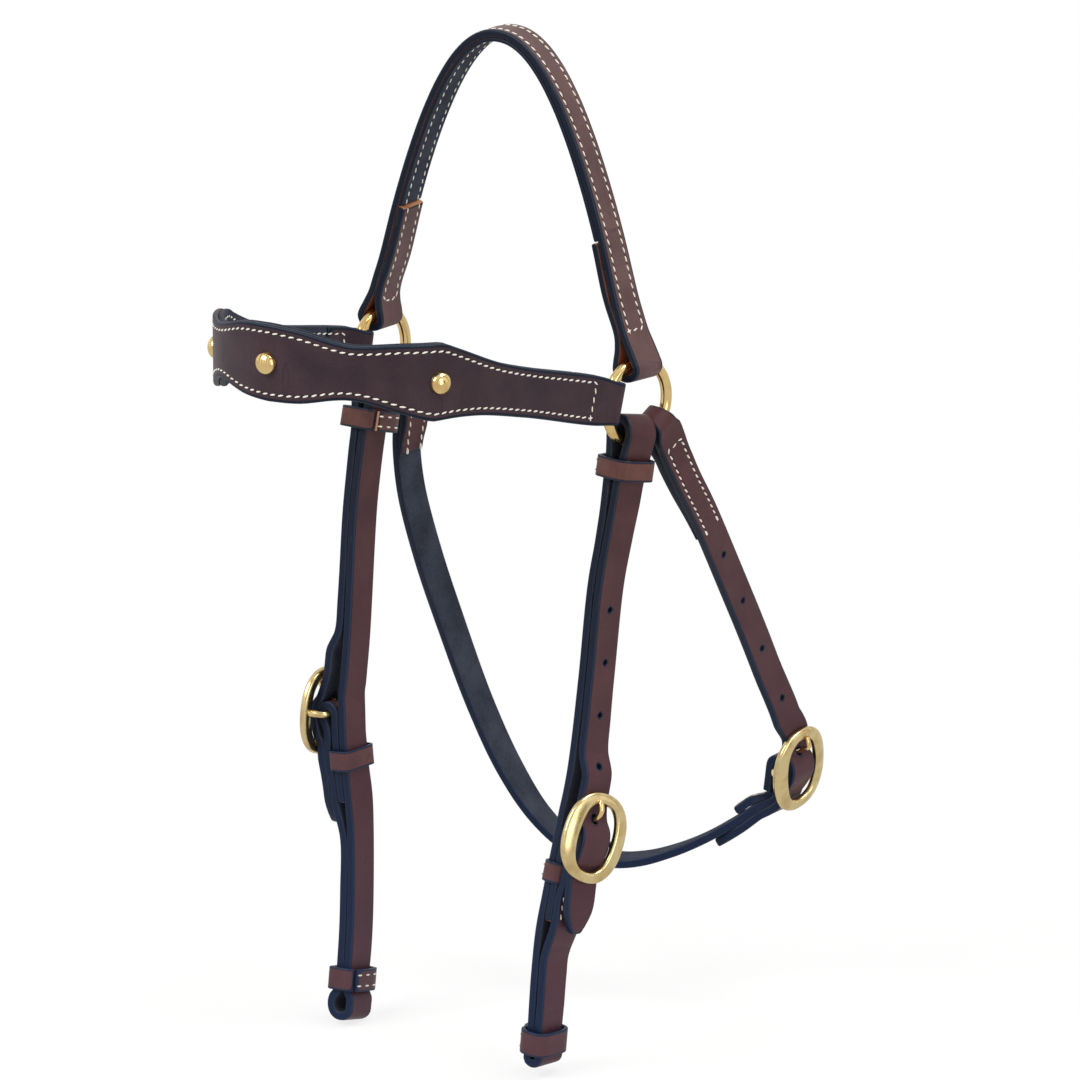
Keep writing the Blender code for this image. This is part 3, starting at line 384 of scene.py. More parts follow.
def sectionOf(thickness):
    # half of a strap's section, from the middle of its face round its edge to the middle of its back:
    # (inset from the edge, offset, part of a crease)
    r, t = min(leather["round"], thickness * 0.34), thickness / 2
    row, beside = leather["stitchInset"], leather["creaseHalf"]
    front = [(row + 0.0020, t, 0.0), (row + beside, t, 0.0), (row, t - leather["creaseDepth"], 1.0),
             (row - beside, t, 0.0), (r * 2.0, t, 0.0), (r * 1.15, t, 0.0)]
    for step in range(1, 5):
        angle = math.pi / 2 * step / 4
        front.append((r * (1 - math.sin(angle)), t - r * (1 - math.cos(angle)), 0.0))
    back = [(inset, -offset) for inset, offset, _ in reversed(front) if inset < 0.0016 or inset > 0.0055]
    return front, back


def routeMarks(route, coarse=0.0035, fine=0.0009, bend=0.10):
    # distances along a strap at which it gets a section: more where it bends
    marks = [0.0]
    last = route.at(0.0)[1]
    for s in np.arange(0.0003, route.length, 0.0003):
        heading = route.at(s)[1]
        turned = math.acos(min(1.0, float((heading * last).sum())))
        gap = s - marks[-1]
        if gap > coarse or gap > fine and turned > bend:
            marks.append(float(s))
            last = heading
    r = leather["endRound"]
    ends = [0.0, r * 0.12, r * 0.45, r]
    inner = [m for m in marks if r * 1.6 < m < route.length - r * 1.6]
    return np.array(sorted(ends + inner + [route.length - e for e in ends]))


def punchHoles(name, obj, holes, thickness, sides=32):
    # cuts the (distance, length, width) holes, round or drawn out along the strap
    punches = []
    for distance, length, width in holes:
        outline = []
        for step in range(sides):
            angle = 2 * math.pi * step / sides
            shift = math.copysign(max(length - width, 0.0) / 2, math.cos(angle))
            outline.append((distance + shift + width / 2 * math.cos(angle), width / 2 * math.sin(angle)))
        walls = [(i, (i + 1) % sides, (i + 1) % sides + sides, i + sides) for i in range(sides)]
        ends = [tuple(reversed(range(sides))), tuple(range(sides, 2 * sides))]
        vertices = [(x, y, z) for z in (-thickness * 2, thickness * 2) for x, y in outline]
        punches.append(newMesh("punch", vertices, walls + ends))
        modifier = obj.modifiers.new("punch", "BOOLEAN")
        modifier.object = punches[-1]
        modifier.solver = "EXACT"
    mesh = baked(obj)
    for scrap in [obj] + punches:
        discard(scrap)
    return linked(name, mesh)


def strap(name, route, faces, thickness, halfWidth=plainWidth, holes=(), creases=(), raw=(), skived=()):
    # faces: grain, back and cut-end materials. holes: (distance, length, width). creases: (from, to).
    # skived: (end, length, part of the thickness that is left at the end)
    marks = routeMarks(route)
    front, back = sectionOf(thickness)
    half = halfWidth(marks)
    r, t = leather["endRound"], thickness / 2
    fromEnd = np.minimum(marks, route.length - marks)
    curl = np.sqrt(np.clip(1 - np.clip(1 - fromEnd / r, 0.0, 1.0) ** 2, 0.0, 1.0))
    thin = leather["endPart"] + (1 - leather["endPart"]) * curl
    half = half - (1 - curl) * r * 0.5
    for at, length, left in skived:
        thin = thin * (left + (1 - left) * np.clip(np.abs(marks - at) / length, 0.0, 1.0))
    vertices = []
    for mark, h, k in zip(marks, half, thin):
        creased = any(a <= mark <= b for a, b in creases)
        scale = min(1.0, h / 0.0085)
        ring = [(0.0, t)] + [(h - inset * scale, offset if creased or not sunk else t) for inset, offset, sunk in front]
        ring += [(h - inset * scale, offset) for inset, offset in back] + [(0.0, -t)]
        ring += [(-v, n) for v, n in reversed(ring[1:-1])]
        vertices += [(mark, v, n * k) for v, n in ring]
    obj = solidMesh(name, vertices, tubeFaces(len(marks), len(ring)))
    if holes:
        obj = punchHoles(name, obj, holes, thickness)
    mesh = obj.data
    mesh.name = name

    # how far each point is from the edges, ends and holes, for the ink, and which lie in a crease's stitch groove, for
    # the painted shade there
    flat = np.empty(len(mesh.vertices) * 3)
    mesh.vertices.foreach_get("co", flat)
    s, v, n = flat.reshape(-1, 3).T
    inset = np.interp(s, marks, half) - np.abs(v)
    rim = np.minimum(inset, np.minimum(s, route.length - s) * 0.9)
    for distance, length, width in holes:
        reach = np.maximum(np.abs(s - distance) - max(length - width, 0.0) / 2, 0.0)
        rim = np.minimum(rim, np.maximum(np.hypot(reach, v) - width / 2, 0.0) + 0.0003)
    rim[np.abs(n) < thickness * np.interp(s, marks, thin) * 0.30] = 0.0
    grooveShade = np.zeros(len(s))
    row = np.abs(inset - leather["stitchInset"]) < 0.0003
    for a, b in creases:
        grooveShade[row & (n > 0) & (s > a) & (s < b)] = 1.0
    for key, values in (("rim", rim), ("grooveShade", grooveShade)):
        attribute = mesh.attributes.new(key, "FLOAT", "POINT")
        attribute.data.foreach_set("value", np.asarray(values, dtype=np.float32))
    loops = np.empty(len(mesh.loops), dtype=np.int32)
    mesh.loops.foreach_get("vertex_index", loops)
    uv = mesh.uv_layers.new(name="cut")
    uv.data.foreach_set("uv", np.stack([s[loops], v[loops] + n[loops] * 0.5], axis=-1).astype(np.float32).ravel())
    for material in faces:
        mesh.materials.append(material)
    for polygon in mesh.polygons:
        centre, normal = polygon.center, polygon.normal
        if centre.z < 0.0 and normal.z < -0.7:
            polygon.material_index = 1
        elif len(faces) > 2 and abs(normal.x) > 0.7 and any(abs(centre.x - end) < r * 0.5 for end in raw):
            polygon.material_index = 2
        polygon.use_smooth = True
    mesh.vertices.foreach_set("co", route.place(s, v, n).astype(np.float32).ravel())
    mesh.update()
    mesh.set_sharp_from_angle(angle=math.radians(50))
    return obj


# stitches: a Geometry Nodes tree lays one after another along a row

stitching = {"Pitch": 0.0048, "Length": 0.0036, "Width": 0.00104, "Height": 0.00090, "Slant": math.radians(13)}
stitchSink = 0.00012


def makeStitchTree():
    tree = bpy.data.node_groups.new("stitchRow", "GeometryNodeTree")
    side = tree.interface
    side.new_socket("Row", in_out="INPUT", socket_type="NodeSocketGeometry")
    for label in stitching:
        side.new_socket(label, in_out="INPUT", socket_type="NodeSocketFloat")
    side.new_socket("Thread", in_out="INPUT", socket_type="NodeSocketMaterial")
    side.new_socket("Stitches", in_out="OUTPUT", socket_type="NodeSocketGeometry")

    def add(kind, inputs=(), **settings):
        return addNode(tree, kind, inputs, **settings)

    source = add("NodeGroupInput")
    curve = add("GeometryNodeMeshToCurve", {"Mesh": source["Row"]})["Curve"]
    even = add("GeometryNodeResampleCurve", {"Curve": curve, "Length": source["Pitch"]}, mode="LENGTH")["Curve"]
    heading = add("GeometryNodeInputTangent")["Tangent"]
    facing = add("GeometryNodeInputNamedAttribute", {"Name": "facing"}, data_type="FLOAT_VECTOR")["Attribute"]
    turned = add("FunctionNodeAlignRotationToVector", {"Vector": heading}, axis="X")["Rotation"]
    upright = add("FunctionNodeAlignRotationToVector", {"Rotation": turned, "Vector": facing}, axis="Z", pivot_axis="X")
    slant = add("ShaderNodeCombineXYZ", {"Z": source["Slant"]})["Vector"]
    slant = add("FunctionNodeEulerToRotation", {"Euler": slant})["Rotation"]
    slanted = add("FunctionNodeRotateRotation", {"Rotation": upright["Rotation"], "Rotate By": slant},
                  rotation_space="LOCAL")
    grain = add("GeometryNodeMeshUVSphere", {"Segments": 8, "Rings": 6, "Radius": 0.5})["Mesh"]
    size = add("ShaderNodeCombineXYZ", {"X": source["Length"], "Y": source["Width"], "Z": source["Height"]})["Vector"]
    stitch = add("GeometryNodeTransform", {"Geometry": grain, "Scale": size})["Geometry"]
    smooth = add("GeometryNodeSetShadeSmooth", {"Geometry": stitch})["Geometry"]
    laid = add("GeometryNodeInstanceOnPoints", {"Points": even, "Instance": smooth, "Rotation": slanted["Rotation"]})
    real = add("GeometryNodeRealizeInstances", {"Geometry": laid["Instances"]})["Geometry"]
    coloured = add("GeometryNodeSetMaterial", {"Geometry": real, "Material": source["Thread"]})["Geometry"]
    add("NodeGroupOutput", {"Stitches": coloured})
    return tree


stitchTree = makeStitchTree()


def stitchRows(name, rows, **changes):
    # each row is (points, outward directions)
    vertices, edges, facing = [], [], []
    for points, outward in rows:
        start = len(vertices)
        vertices += [tuple(p - o * stitchSink) for p, o in zip(points, outward)]
        facing += [tuple(o) for o in outward]
        edges += [(start + i, start + i + 1) for i in range(len(points) - 1)]
    mesh = bpy.data.meshes.new(name)
    mesh.from_pydata(vertices, edges, [])
    attribute = mesh.attributes.new("facing", "FLOAT_VECTOR", "POINT")
    attribute.data.foreach_set("vector", np.array(facing, dtype=np.float32).ravel())
    row = linked(name + "Row", mesh)
    modifier = row.modifiers.new("stitches", "NODES")
    modifier.node_group = stitchTree
    values = {**stitching, "Thread": thread, **changes}
    for item in stitchTree.interface.items_tree:
        if item.in_out == "INPUT" and item.name in values:
            modifier[item.identifier] = values[item.name]
    solid = baked(row)
    discard(row)
    solid.name = name
    return linked(name, solid)


def rowBeside(line, spots, offset):
    # a row's points and outward directions, from (distance along the line, place across) spots
    dense = []
    for (u0, v0), (u1, v1) in zip(spots[:-1], spots[1:]):
        count = max(2, int(math.hypot(u1 - u0, v1 - v0) / 0.0015))
        dense += [(u0 + (u1 - u0) * i / count, v0 + (v1 - v0) * i / count) for i in range(count)]
    dense.append(spots[-1])
    u, v = np.array(dense).T
    return line.place(u, v, np.full(len(u), offset)), line.at(u)[3] * np.sign(offset)


def endRow(route, near, far, edge, face):
    # a row down one edge of a turned-back end, across it and up the other edge
    return rowBeside(route, [(far, edge), (near, edge), (near, -edge), (far, -edge)], face)


def spotsOn(route, line, offset, *places):
    # distances along a strap's route, from distances along the line that it follows
    return [route.nearest(line.place(u, 0.0, offset)) for u in places]


# routes of the straps, in metres from the middle between the rings

def lineThrough(points, across):
    rows = [(x, y, z + ringLevel, *width) for (x, y, z), width in zip(points, across)]
    dense = smoothPath(rows)
    return Path(dense[:, :3], dense[:, 3:])


def routeBeside(line, profile, bar=None, straight=0.009):
    # a strap's route, from (distance along the line, offset outwards); near a bar it stays straight
    u, h = smoothPath(profile, perSpan=12).T
    point, _, across, outward = line.at(u)
    point = point + h[:, None] * outward
    if bar is not None:
        centre, along, level, out = line.at(bar)
        leave = np.clip((np.abs(u - bar) - straight) / straight, 0.0, 1.0)
        leave = (leave * leave * (3 - 2 * leave))[:, None]
        flat = centre + (u - bar)[:, None] * along + h[:, None] * out
        point = flat * (1 - leave) + point * leave
        across = level * (1 - leave) + across * leave
    return Path(point, across)


def eyeProfile(depth, wide, neck, layer):
    half = [(neck, layer), (neck * 0.5, layer + 0.34 * (wide - layer)), (0.0, wide * 0.90),
            (-depth * 0.42, wide), (-depth * 0.80, wide * 0.72), (-depth, wide * 0.26)]
    return [(u, -h) for u, h in half] + half[::-1]


def atFarEnd(length, profile):
    return [(length - u, h) for u, h in reversed(profile)]


rings = {
    "spread": 0.0895,
    "radius": 0.022,
    "wire": 0.0030,
    "steps": 120,
    "yaw": {"right": math.radians(6), "left": math.radians(-4)},
}


# headpiece

crown = {
    "outer": 0.0042,
    "lining": 0.0021,
    "rise": 0.1888,
    "halfSpan": 0.0828,
    "drop": 0.1355,
    "power": 2.13,
    "turnBack": 0.066,
    "rowStart": 0.0165,   # where the stitches start on the face, from the right end
    "rowEnd": 0.0075,     # and where they stop, from the left end
    "turns": {
        "right": [(0.022, 6.0), (0.060, 0.0), (0.100, -3.4), (0.190, -6.9)],
        "left": [(0.022, -4.0), (0.060, -5.7), (0.100, -8.6), (0.190, -6.9)],
    },
}


def crownLine():
    right = []
    depth = leather["thin"] + leather["gap"] / 2
    for step in range(9):
        x = crown["halfSpan"] * step / 8
        drop = crown["drop"] * (x / crown["halfSpan"]) ** crown["power"]
        slope = crown["power"] * drop / x if x else 0.0
        out = Vector((slope, 1.0)).normalized()
        right.append((x - out.x * depth, crown["rise"] - drop - out.y * depth))
    lean = rings["spread"] - right[-1][0]
    drop = right[-1][1] - rings["radius"]
    right.append((rings["spread"] - lean * 0.42, rings["radius"] + drop * 0.52))
    right.append((rings["spread"] - lean * 0.12, rings["radius"] + drop * 0.20))
    right.append((rings["spread"], rings["radius"]))
    points = [(x, 0.0, z) for x, z in reversed(right)] + [(-x, 0.0, z) for x, z in right[1:]]
    across = []
    for x, _, z in points:
        heights, angles = zip(*crown["turns"]["right" if x > 0 else "left"])
        turn = math.radians(float(np.interp(z, heights, angles)))
        across.append((-math.sin(turn), -math.cos(turn), 0.0))
    return lineThrough(points, across)


thinLayer = (leather["thin"] + leather["gap"]) / 2
line = crownLine()
length, turnBack = line.length, crown["turnBack"]
outerLayer = (crown["outer"] + leather["gap"]) / 2
liningLayer = (crown["lining"] + leather["gap"]) / 2
rightEnd = [(turnBack, -outerLayer - 0.0004), (turnBack * 0.6, -outerLayer - 0.0009)]
rightEnd += eyeProfile(0.0076, 0.0078, 0.016, outerLayer)
leftEnd = [(turnBack, -outerLayer), (turnBack * 0.6, -outerLayer)] + eyeProfile(0.0076, 0.0066, 0.012, outerLayer)
outer = [(length * part, outerLayer) for part in np.linspace(0.07, 0.93, 33)]
route = routeBeside(line, rightEnd + outer + atFarEnd(length, leftEnd))
rowEnds = crown["rowStart"], length - crown["rowEnd"]
start, stop = spotsOn(route, line, outerLayer, *rowEnds)
crownStrap = strap("crownStrap", route, [headLeather, brownFlesh, rawCut], crown["outer"],
                   creases=[(start, stop)], raw=[0.0, route.length])
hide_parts("crown_strap")
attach(crownStrap, "headpiece")
edge, face = leather["width"] / 2 - leather["stitchInset"], crown["outer"] / 2
rows = [rowBeside(route, [(start, edge), (stop, edge), (stop, -edge), (start, -edge), (start, edge)], face)]
for near, far in zip(rowEnds, (turnBack - 0.002, length - turnBack + 0.002)):
    rows.append(endRow(route, *spotsOn(route, line, -outerLayer, near, far), edge, face))
inset = turnBack + 0.0006
route = routeBeside(line, [(u, -liningLayer) for u in np.linspace(inset, length - inset, 32)])
crownLining = strap("crownLining", route, [liningLeather, blackFlesh, rawCut], crown["lining"], raw=[0.0, route.length])
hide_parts("crown_lining")
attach(crownLining, "headpiece")
rows += [rowBeside(route, [(0.002, v), (route.length - 0.002, v)], -crown["lining"] / 2) for v in (-edge, edge)]
crownStitches = stitchRows("crownStitches", rows)
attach(crownStitches, "headpiece")
print("headpiece made")


# browband

browband = {
    "end": 0.0131, "waist": 0.0145, "bump": 0.0205, "fold": 0.0115,
    "turnBack": 0.028, "rowStart": 0.0140,
    "studSpacing": 0.092,
    "route": [
        (0.0872, -0.0216, 0.0038), (0.0845, -0.0600, 0.0142), (0.0825, -0.1000, 0.0248), (0.0795, -0.1320, 0.0337),
        (0.0745, -0.1550, 0.0390), (0.0600, -0.1712, 0.0425), (0.0400, -0.1812, 0.0435), (0.0200, -0.1885, 0.0440),
        (0.0000, -0.1922, 0.0445), (-0.0220, -0.1880, 0.0437), (-0.0420, -0.1785, 0.0417), (-0.0580, -0.1650, 0.0375),
        (-0.0720, -0.1465, 0.0318), (-0.0810, -0.1230, 0.0258), (-0.0870, -0.0920, 0.0180), (-0.0893, -0.0550, 0.0102),
        (-0.0880, -0.0216, 0.0038),
    ],
}

bandLine = lineThrough(browband["route"], [(0.0, 0.0, -1.0)] * len(browband["route"]))
bandMiddle = bandLine.length / 2
bump, spacing = browband["bump"], browband["studSpacing"]
bandCurve = smoothPath([
    (0.0, bump), (0.018, bump - 0.0012), (0.046, browband["waist"]), (0.074, bump - 0.0022), (spacing, bump),
    (spacing + 0.006, bump - 0.0012), (spacing + 0.035, browband["end"] + 0.0014), (spacing + 0.066, browband["end"]),
    (bandMiddle - 0.010, browband["end"]), (bandMiddle, browband["fold"]),
])


def bandHalf(u):
    return np.interp(np.abs(np.asarray(u) - bandMiddle), bandCurve[:, 0], bandCurve[:, 1])


def bandWidthAlong(route):
    # the band's half width by distance along one of its two layers
    steps = np.linspace(0.0, route.length, 240)
    table = bandHalf([bandLine.nearest(p) for p in route.at(steps)[0]])
    return lambda s: np.interp(s, steps, table)


length, turnBack = bandLine.length, browband["turnBack"]
end = [(turnBack, -thinLayer)] + eyeProfile(0.0054, 0.0064, 0.015, thinLayer)
outer = [(length * part, thinLayer) for part in np.linspace(0.06, 0.94, 49)]
bandRoute = routeBeside(bandLine, end + outer + atFarEnd(length, end))
bandWidth = bandWidthAlong(bandRoute)
rowEnds = browband["rowStart"], length - browband["rowStart"]
start, stop = spotsOn(bandRoute, bandLine, thinLayer, *rowEnds)
bandStrap = strap("browbandStrap", bandRoute, [browLeather, brownFlesh, rawCut], leather["thin"], bandWidth,
                  creases=[(start, stop)])
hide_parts("browband_strap")
inset = turnBack + 0.0006
liningRoute = routeBeside(bandLine, [(u, -thinLayer) for u in np.linspace(inset, length - inset, 49)])
liningWidth = bandWidthAlong(liningRoute)
bandLining = strap("browbandLining", liningRoute, [liningLeather, blackFlesh], leather["thin"], liningWidth)
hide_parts("browband_lining")


def bandRow(widthOf, start, stop):
    # along one edge of the band and back along the other
    upper = [(s, float(widthOf(s)) - leather["stitchInset"]) for s in np.linspace(start, stop, 200)]
    return upper, [(s, -v) for s, v in reversed(upper)]


face = leather["thin"] / 2
upper, lower = bandRow(bandWidth, start, stop)
rows = [rowBeside(bandRoute, upper + lower + upper[:1], face)]
for near, far in zip(rowEnds, (turnBack - 0.002, length - turnBack + 0.002)):
    a, b = spotsOn(bandRoute, bandLine, -thinLayer, near, far)
    upper, lower = bandRow(bandWidth, b, a)
    rows.append(rowBeside(bandRoute, upper + lower, face))
upper, _ = bandRow(liningWidth, 0.002, liningRoute.length - 0.002)
rows += [rowBeside(liningRoute, [(s, sign * v) for s, v in upper], -face) for sign in (1, -1)]
bandStitches = stitchRows("browbandStitches", rows)

stud = {"radius": 0.0060, "height": 0.0042, "skirt": 0.0007, "shank": 0.0013, "foot": 0.0028, "steps": 40}


def domeStud(name, u):
    # a spun dome with a thin skirt on the leather, and a small riveted foot at the back
    point, tangent, across, outward = bandLine.at(u)
    base, radius, skirt = thinLayer + leather["thin"] / 2, stud["radius"], stud["skirt"]
    profile = [(radius * math.sin(a), base + skirt + stud["height"] * math.cos(a))
               for a in np.linspace(0.0, math.pi / 2, 14)]
    profile += [(radius * 1.02, base + skirt * 0.4), (radius * 0.98, base + 0.00002), (stud["shank"], base + 0.00002),
                (stud["shank"], -base), (stud["foot"], -base), (stud["foot"] * 0.8, -base - 0.0009), (0.0, -base - 0.0012)]
    vertices = []
    for r, h in profile:
        for step in range(stud["steps"]):
            angle = 2 * math.pi * step / stud["steps"]
            radial = math.cos(angle) * tangent + math.sin(angle) * across
            vertices.append(point + max(r, 1e-6) * radial + h * outward)
    return solidMesh(name, vertices, tubeFaces(len(profile), stud["steps"], capped=False))


def finishBrass(obj, material, matrix=Matrix()):
    obj.data.transform(matrix)
    obj.data.materials.append(material)
    obj.data.shade_smooth()
    obj.data.set_sharp_from_angle(angle=math.radians(40))
    return obj


for piece in (bandStrap, bandLining, bandStitches):
    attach(piece, "browband")
for side, u in (("right", bandMiddle - spacing), ("centre", bandMiddle), ("left", bandMiddle + spacing)):
    piece = finishBrass(domeStud("stud" + side.title(), u), brass)
    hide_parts("stud_" + side)
    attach(piece, "browband")
print("browband made")


# rings, buckles and prongs

def sweep(name, points, sections, closed, flat=2.0, count=24):
    # a bar of changing section, from an oval (flat 2) towards a rounded box: each section is its
    # half width, its half height and its upward direction
    points = np.array(points, dtype=float)
    if closed:
        tangent = unit(np.roll(points, -1, axis=0) - np.roll(points, 1, axis=0))
    else:
        tangent = unit(np.gradient(points, axis=0))
    vertices = []
    for point, t, (wide, high, up) in zip(points, tangent, sections):
        up = unit(np.array(up) - np.dot(up, t) * t)
        side = np.cross(up, t)
        for step in range(count):
            angle = 2 * math.pi * step / count
            c, s = math.cos(angle), math.sin(angle)
            x, y = [math.copysign(abs(part) ** (2 / flat), part) for part in (c, s)]
            vertices.append(point + side * wide * x + up * high * y)
    return solidMesh(name, vertices, tubeFaces(len(points), count, closed))


def joined(name, pieces):
    bm = bmesh.new()
    for piece in pieces:
        bm.from_mesh(piece.data)
        discard(piece)
    mesh = bpy.data.meshes.new(name)
    bm.to_mesh(mesh)
    bm.free()
    return linked(name, mesh)


for side in ("right", "left"):
    yaw = rings["yaw"][side]
    centre = Vector((rings["spread"] if side == "right" else -rings["spread"], 0.0, ringLevel))
    front = Vector((-math.sin(yaw), -math.cos(yaw), 0.0))
    points, sections = [], []
    for step in range(rings["steps"]):
        angle = 2 * math.pi * step / rings["steps"]
        radial = front * math.cos(angle) + Vector((0.0, 0.0, 1.0)) * math.sin(angle)
        points.append(centre + radial * rings["radius"])
        sections.append((rings["wire"], rings["wire"], radial))
    piece = finishBrass(sweep("ring" + side.title(), points, sections, True), brass)
    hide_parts("ring_" + side)
    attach(piece, "ring_" + side)

buckle = {
    "length": 0.0488, "width": 0.0422,
    "side": 0.0092, "end": 0.0060,       # the frame's width beside the strap and at its two ends
    "thickness": 0.0046,
    "flat": 2.9, "bevel": 0.27,          # of the frame's section
    "squareness": 2.35,                  # of its outline
    "offset": 0.0090,                    # from the bar out to the frame
    "bar": 0.0020, "slack": 0.0004,
    "prong": 0.0014, "prongSlack": 0.0004,
}
thickLayer = (leather["thick"] + leather["gap"]) / 2
plyPitch = leather["thick"] + leather["gap"]
fold = buckle["bar"] + buckle["slack"] + leather["thick"] / 2


def tilted(up, out, tilt):
    # a place in the buckle's own plane, after the frame's tilt about its bar
    c, s = math.cos(math.radians(tilt)), math.sin(math.radians(tilt))
    return up * c + out * s, out * c - up * s


def buckleMatrix(line, bar, height):
    # X up the strap, Y along the bar, Z outwards
    point, tangent, across, outward = [Vector(part) for part in line.at(bar)]
    return Matrix.Translation(point + height * outward) @ Matrix((-tangent, -across, outward)).transposed().to_4x4()


def buckleFrame(name, line, bar, height, tilt, lean=0.0, aside=0.0):
    # a rounded frame, and a bar through its middle that dips under it
    halfLong = (buckle["length"] - buckle["end"]) / 2
    halfWide = (buckle["width"] - buckle["side"]) / 2
    points, sections = [], []
    for step in range(96):
        angle = 2 * math.pi * step / 96
        c, s = math.cos(angle), math.sin(angle)
        power = 2 / buckle["squareness"]
        up = math.copysign(abs(c) ** power, c) * halfLong
        across = math.copysign(abs(s) ** power, s) * halfWide
        wide = (buckle["side"] + (buckle["end"] - buckle["side"]) * c * c) / 2
        points.append((up, across, buckle["offset"]))
        sections.append((wide, buckle["thickness"] / 2, (c * buckle["bevel"], s * buckle["bevel"], 1.0)))
    rim = sweep(name + "Frame", points, sections, True, buckle["flat"])
    dip = [(0.0, 1.0), (0.0018, 0.70), (0.0042, 0.20), (0.0068, 0.0), (halfWide, 0.0)]
    path = [(0.0, shift - halfWide, part * buckle["offset"]) for shift, part in dip]
    path += [(x, -y, z) for x, y, z in reversed(path[:-1])]
    dense = smoothPath(path, perSpan=6)
    rod = sweep(name + "Bar", dense, [(buckle["bar"], buckle["bar"], (1.0, 0.0, 0.0))] * len(dense), False)
    piece = joined(name, [rim, rod])
    turned = Matrix.Rotation(math.radians(tilt), 4, "Y") @ Matrix.Rotation(math.radians(lean), 4, "Z")
    place = buckleMatrix(line, bar, height) @ Matrix.Translation((0.0, -aside, 0.0))
    return finishBrass(piece, buckleBrass, place @ turned)


def bucklePin(name, line, bar, height, tilt):
    # the prong: a loop round the bar, a shank through the billet's hole, and a flat tip on the frame
    radius = buckle["prong"]
    loopRadius = buckle["bar"] + buckle["prongSlack"] + radius
    start, leave = math.radians(72), math.radians(-37)
    turns = [start + (2 * math.pi + leave - start) * step / 16 for step in range(17)]
    points = [(loopRadius * math.cos(angle), 0.0, loopRadius * math.sin(angle)) for angle in turns]
    up, out = tilted((buckle["length"] - buckle["end"]) / 2, buckle["offset"], tilt)
    rest = out + buckle["thickness"] / 2 + radius
    for distance in (0.004, 0.0085, 0.0125):
        points.append((points[16][0] - math.sin(leave) * distance, 0.0, points[16][2] + math.cos(leave) * distance))
    knee = points[-1]
    points += [(knee[0] + 0.0022, 0.0, knee[2] + 0.0020), (up - 0.0062, 0.0, rest + 0.0014),
               (up - 0.0022, 0.0, rest + 0.0001), (up - 0.0006, 0.0, rest - 0.0003)]
    taper = [1.0] * (len(points) - 3) + [0.98, 0.92, 0.66]
    dense = smoothPath([(*p, r) for p, r in zip(points, taper)], perSpan=5)
    sections = [(radius * r, radius * r * 1.12, (0.0, 1.0, 0.0)) for r in dense[:, 3]]
    piece = sweep(name, dense[:, :3], sections, False)
    return finishBrass(piece, brass, buckleMatrix(line, bar, height))


def throughBuckle(bar, height, tilt):
    # a billet's way: under the frame's top end, over the bar, under the frame's other end
    reach = (buckle["length"] - buckle["end"]) / 2
    under = buckle["thickness"] / 2 + leather["thick"] / 2 + 0.0001
    over = fold + plyPitch
    topUp, topOut = tilted(reach, buckle["offset"], tilt)
    lowUp, lowOut = tilted(-reach, buckle["offset"], tilt)
    points = [
        (-topUp - 0.012, topOut - under - 0.0004), (-topUp - buckle["end"] / 2, topOut - under),
        (-topUp + buckle["end"] * 0.6, topOut - under + 0.0003), (-fold * 1.97, over * 0.50), (-fold * 1.0, over * 0.91),
        (-fold * 0.3, over * 1.03), (fold * 0.7, over * 1.02), (fold * 2.6, lowOut - under + 0.0012),
        (-lowUp - buckle["end"] * 0.8, lowOut - under - 0.0006), (-lowUp + buckle["end"] * 0.7, lowOut - under - 0.0004),
    ]
    return [(bar + u, height + h) for u, h in points]


def barFold(bar, height):
    # a chape's way round the bar
    return [(bar - fold * math.sin(a), height - fold * math.cos(a)) for a in np.linspace(0.0, math.pi, 7)]


billets = {
    "hole": 0.0034, "holePitch": 0.029, "holeCount": 4,
    "prongHole": (0.0070, 0.0036),       # the hole that the prong is through, drawn long by its pull
    "prongPlace": (0.0092, 0.0, 0.0044),
    "slot": 0.0038, "slotEnds": 0.0126,
    "tipLength": 0.0165, "tipWidth": 0.0046,
}


def billetWidth(length):
    # the half width of a strap whose far end is rounded to a tip
    def half(s):
        part = np.clip((length - np.asarray(s)) / billets["tipLength"], 0.0, 1.0)
        return billets["tipWidth"] / 2 + (leather["width"] - billets["tipWidth"]) / 2 * np.sin(part * math.pi / 2) ** 0.8
    return half


def billetHoles(route, line, bar, height, pitch):
    first = route.nearest(buckleMatrix(line, bar, height) @ Vector(billets["prongPlace"]))
    wide = billets["hole"]
    spare = [(first - step * pitch, wide, wide) for step in range(1, billets["holeCount"] + 1)]
    return [(first, *billets["prongHole"])] + spare


def foldSlot(route, line, bar, height):
    crest = route.nearest(buckleMatrix(line, bar, height) @ Vector((fold, 0.0, 0.0)))
    return (crest, fold * math.pi + billets["slotEnds"], billets["slot"])


# keepers

keepers = {"height": 0.0113, "leather": 0.0022, "clearance": 0.0006, "side": 0.0014, "corner": 0.0060,
           "farCorner": 0.0024, "lap": 0.0168, "stitches": {"Pitch": 0.0052, "Length": 0.0040, "Slant": 0.0}}


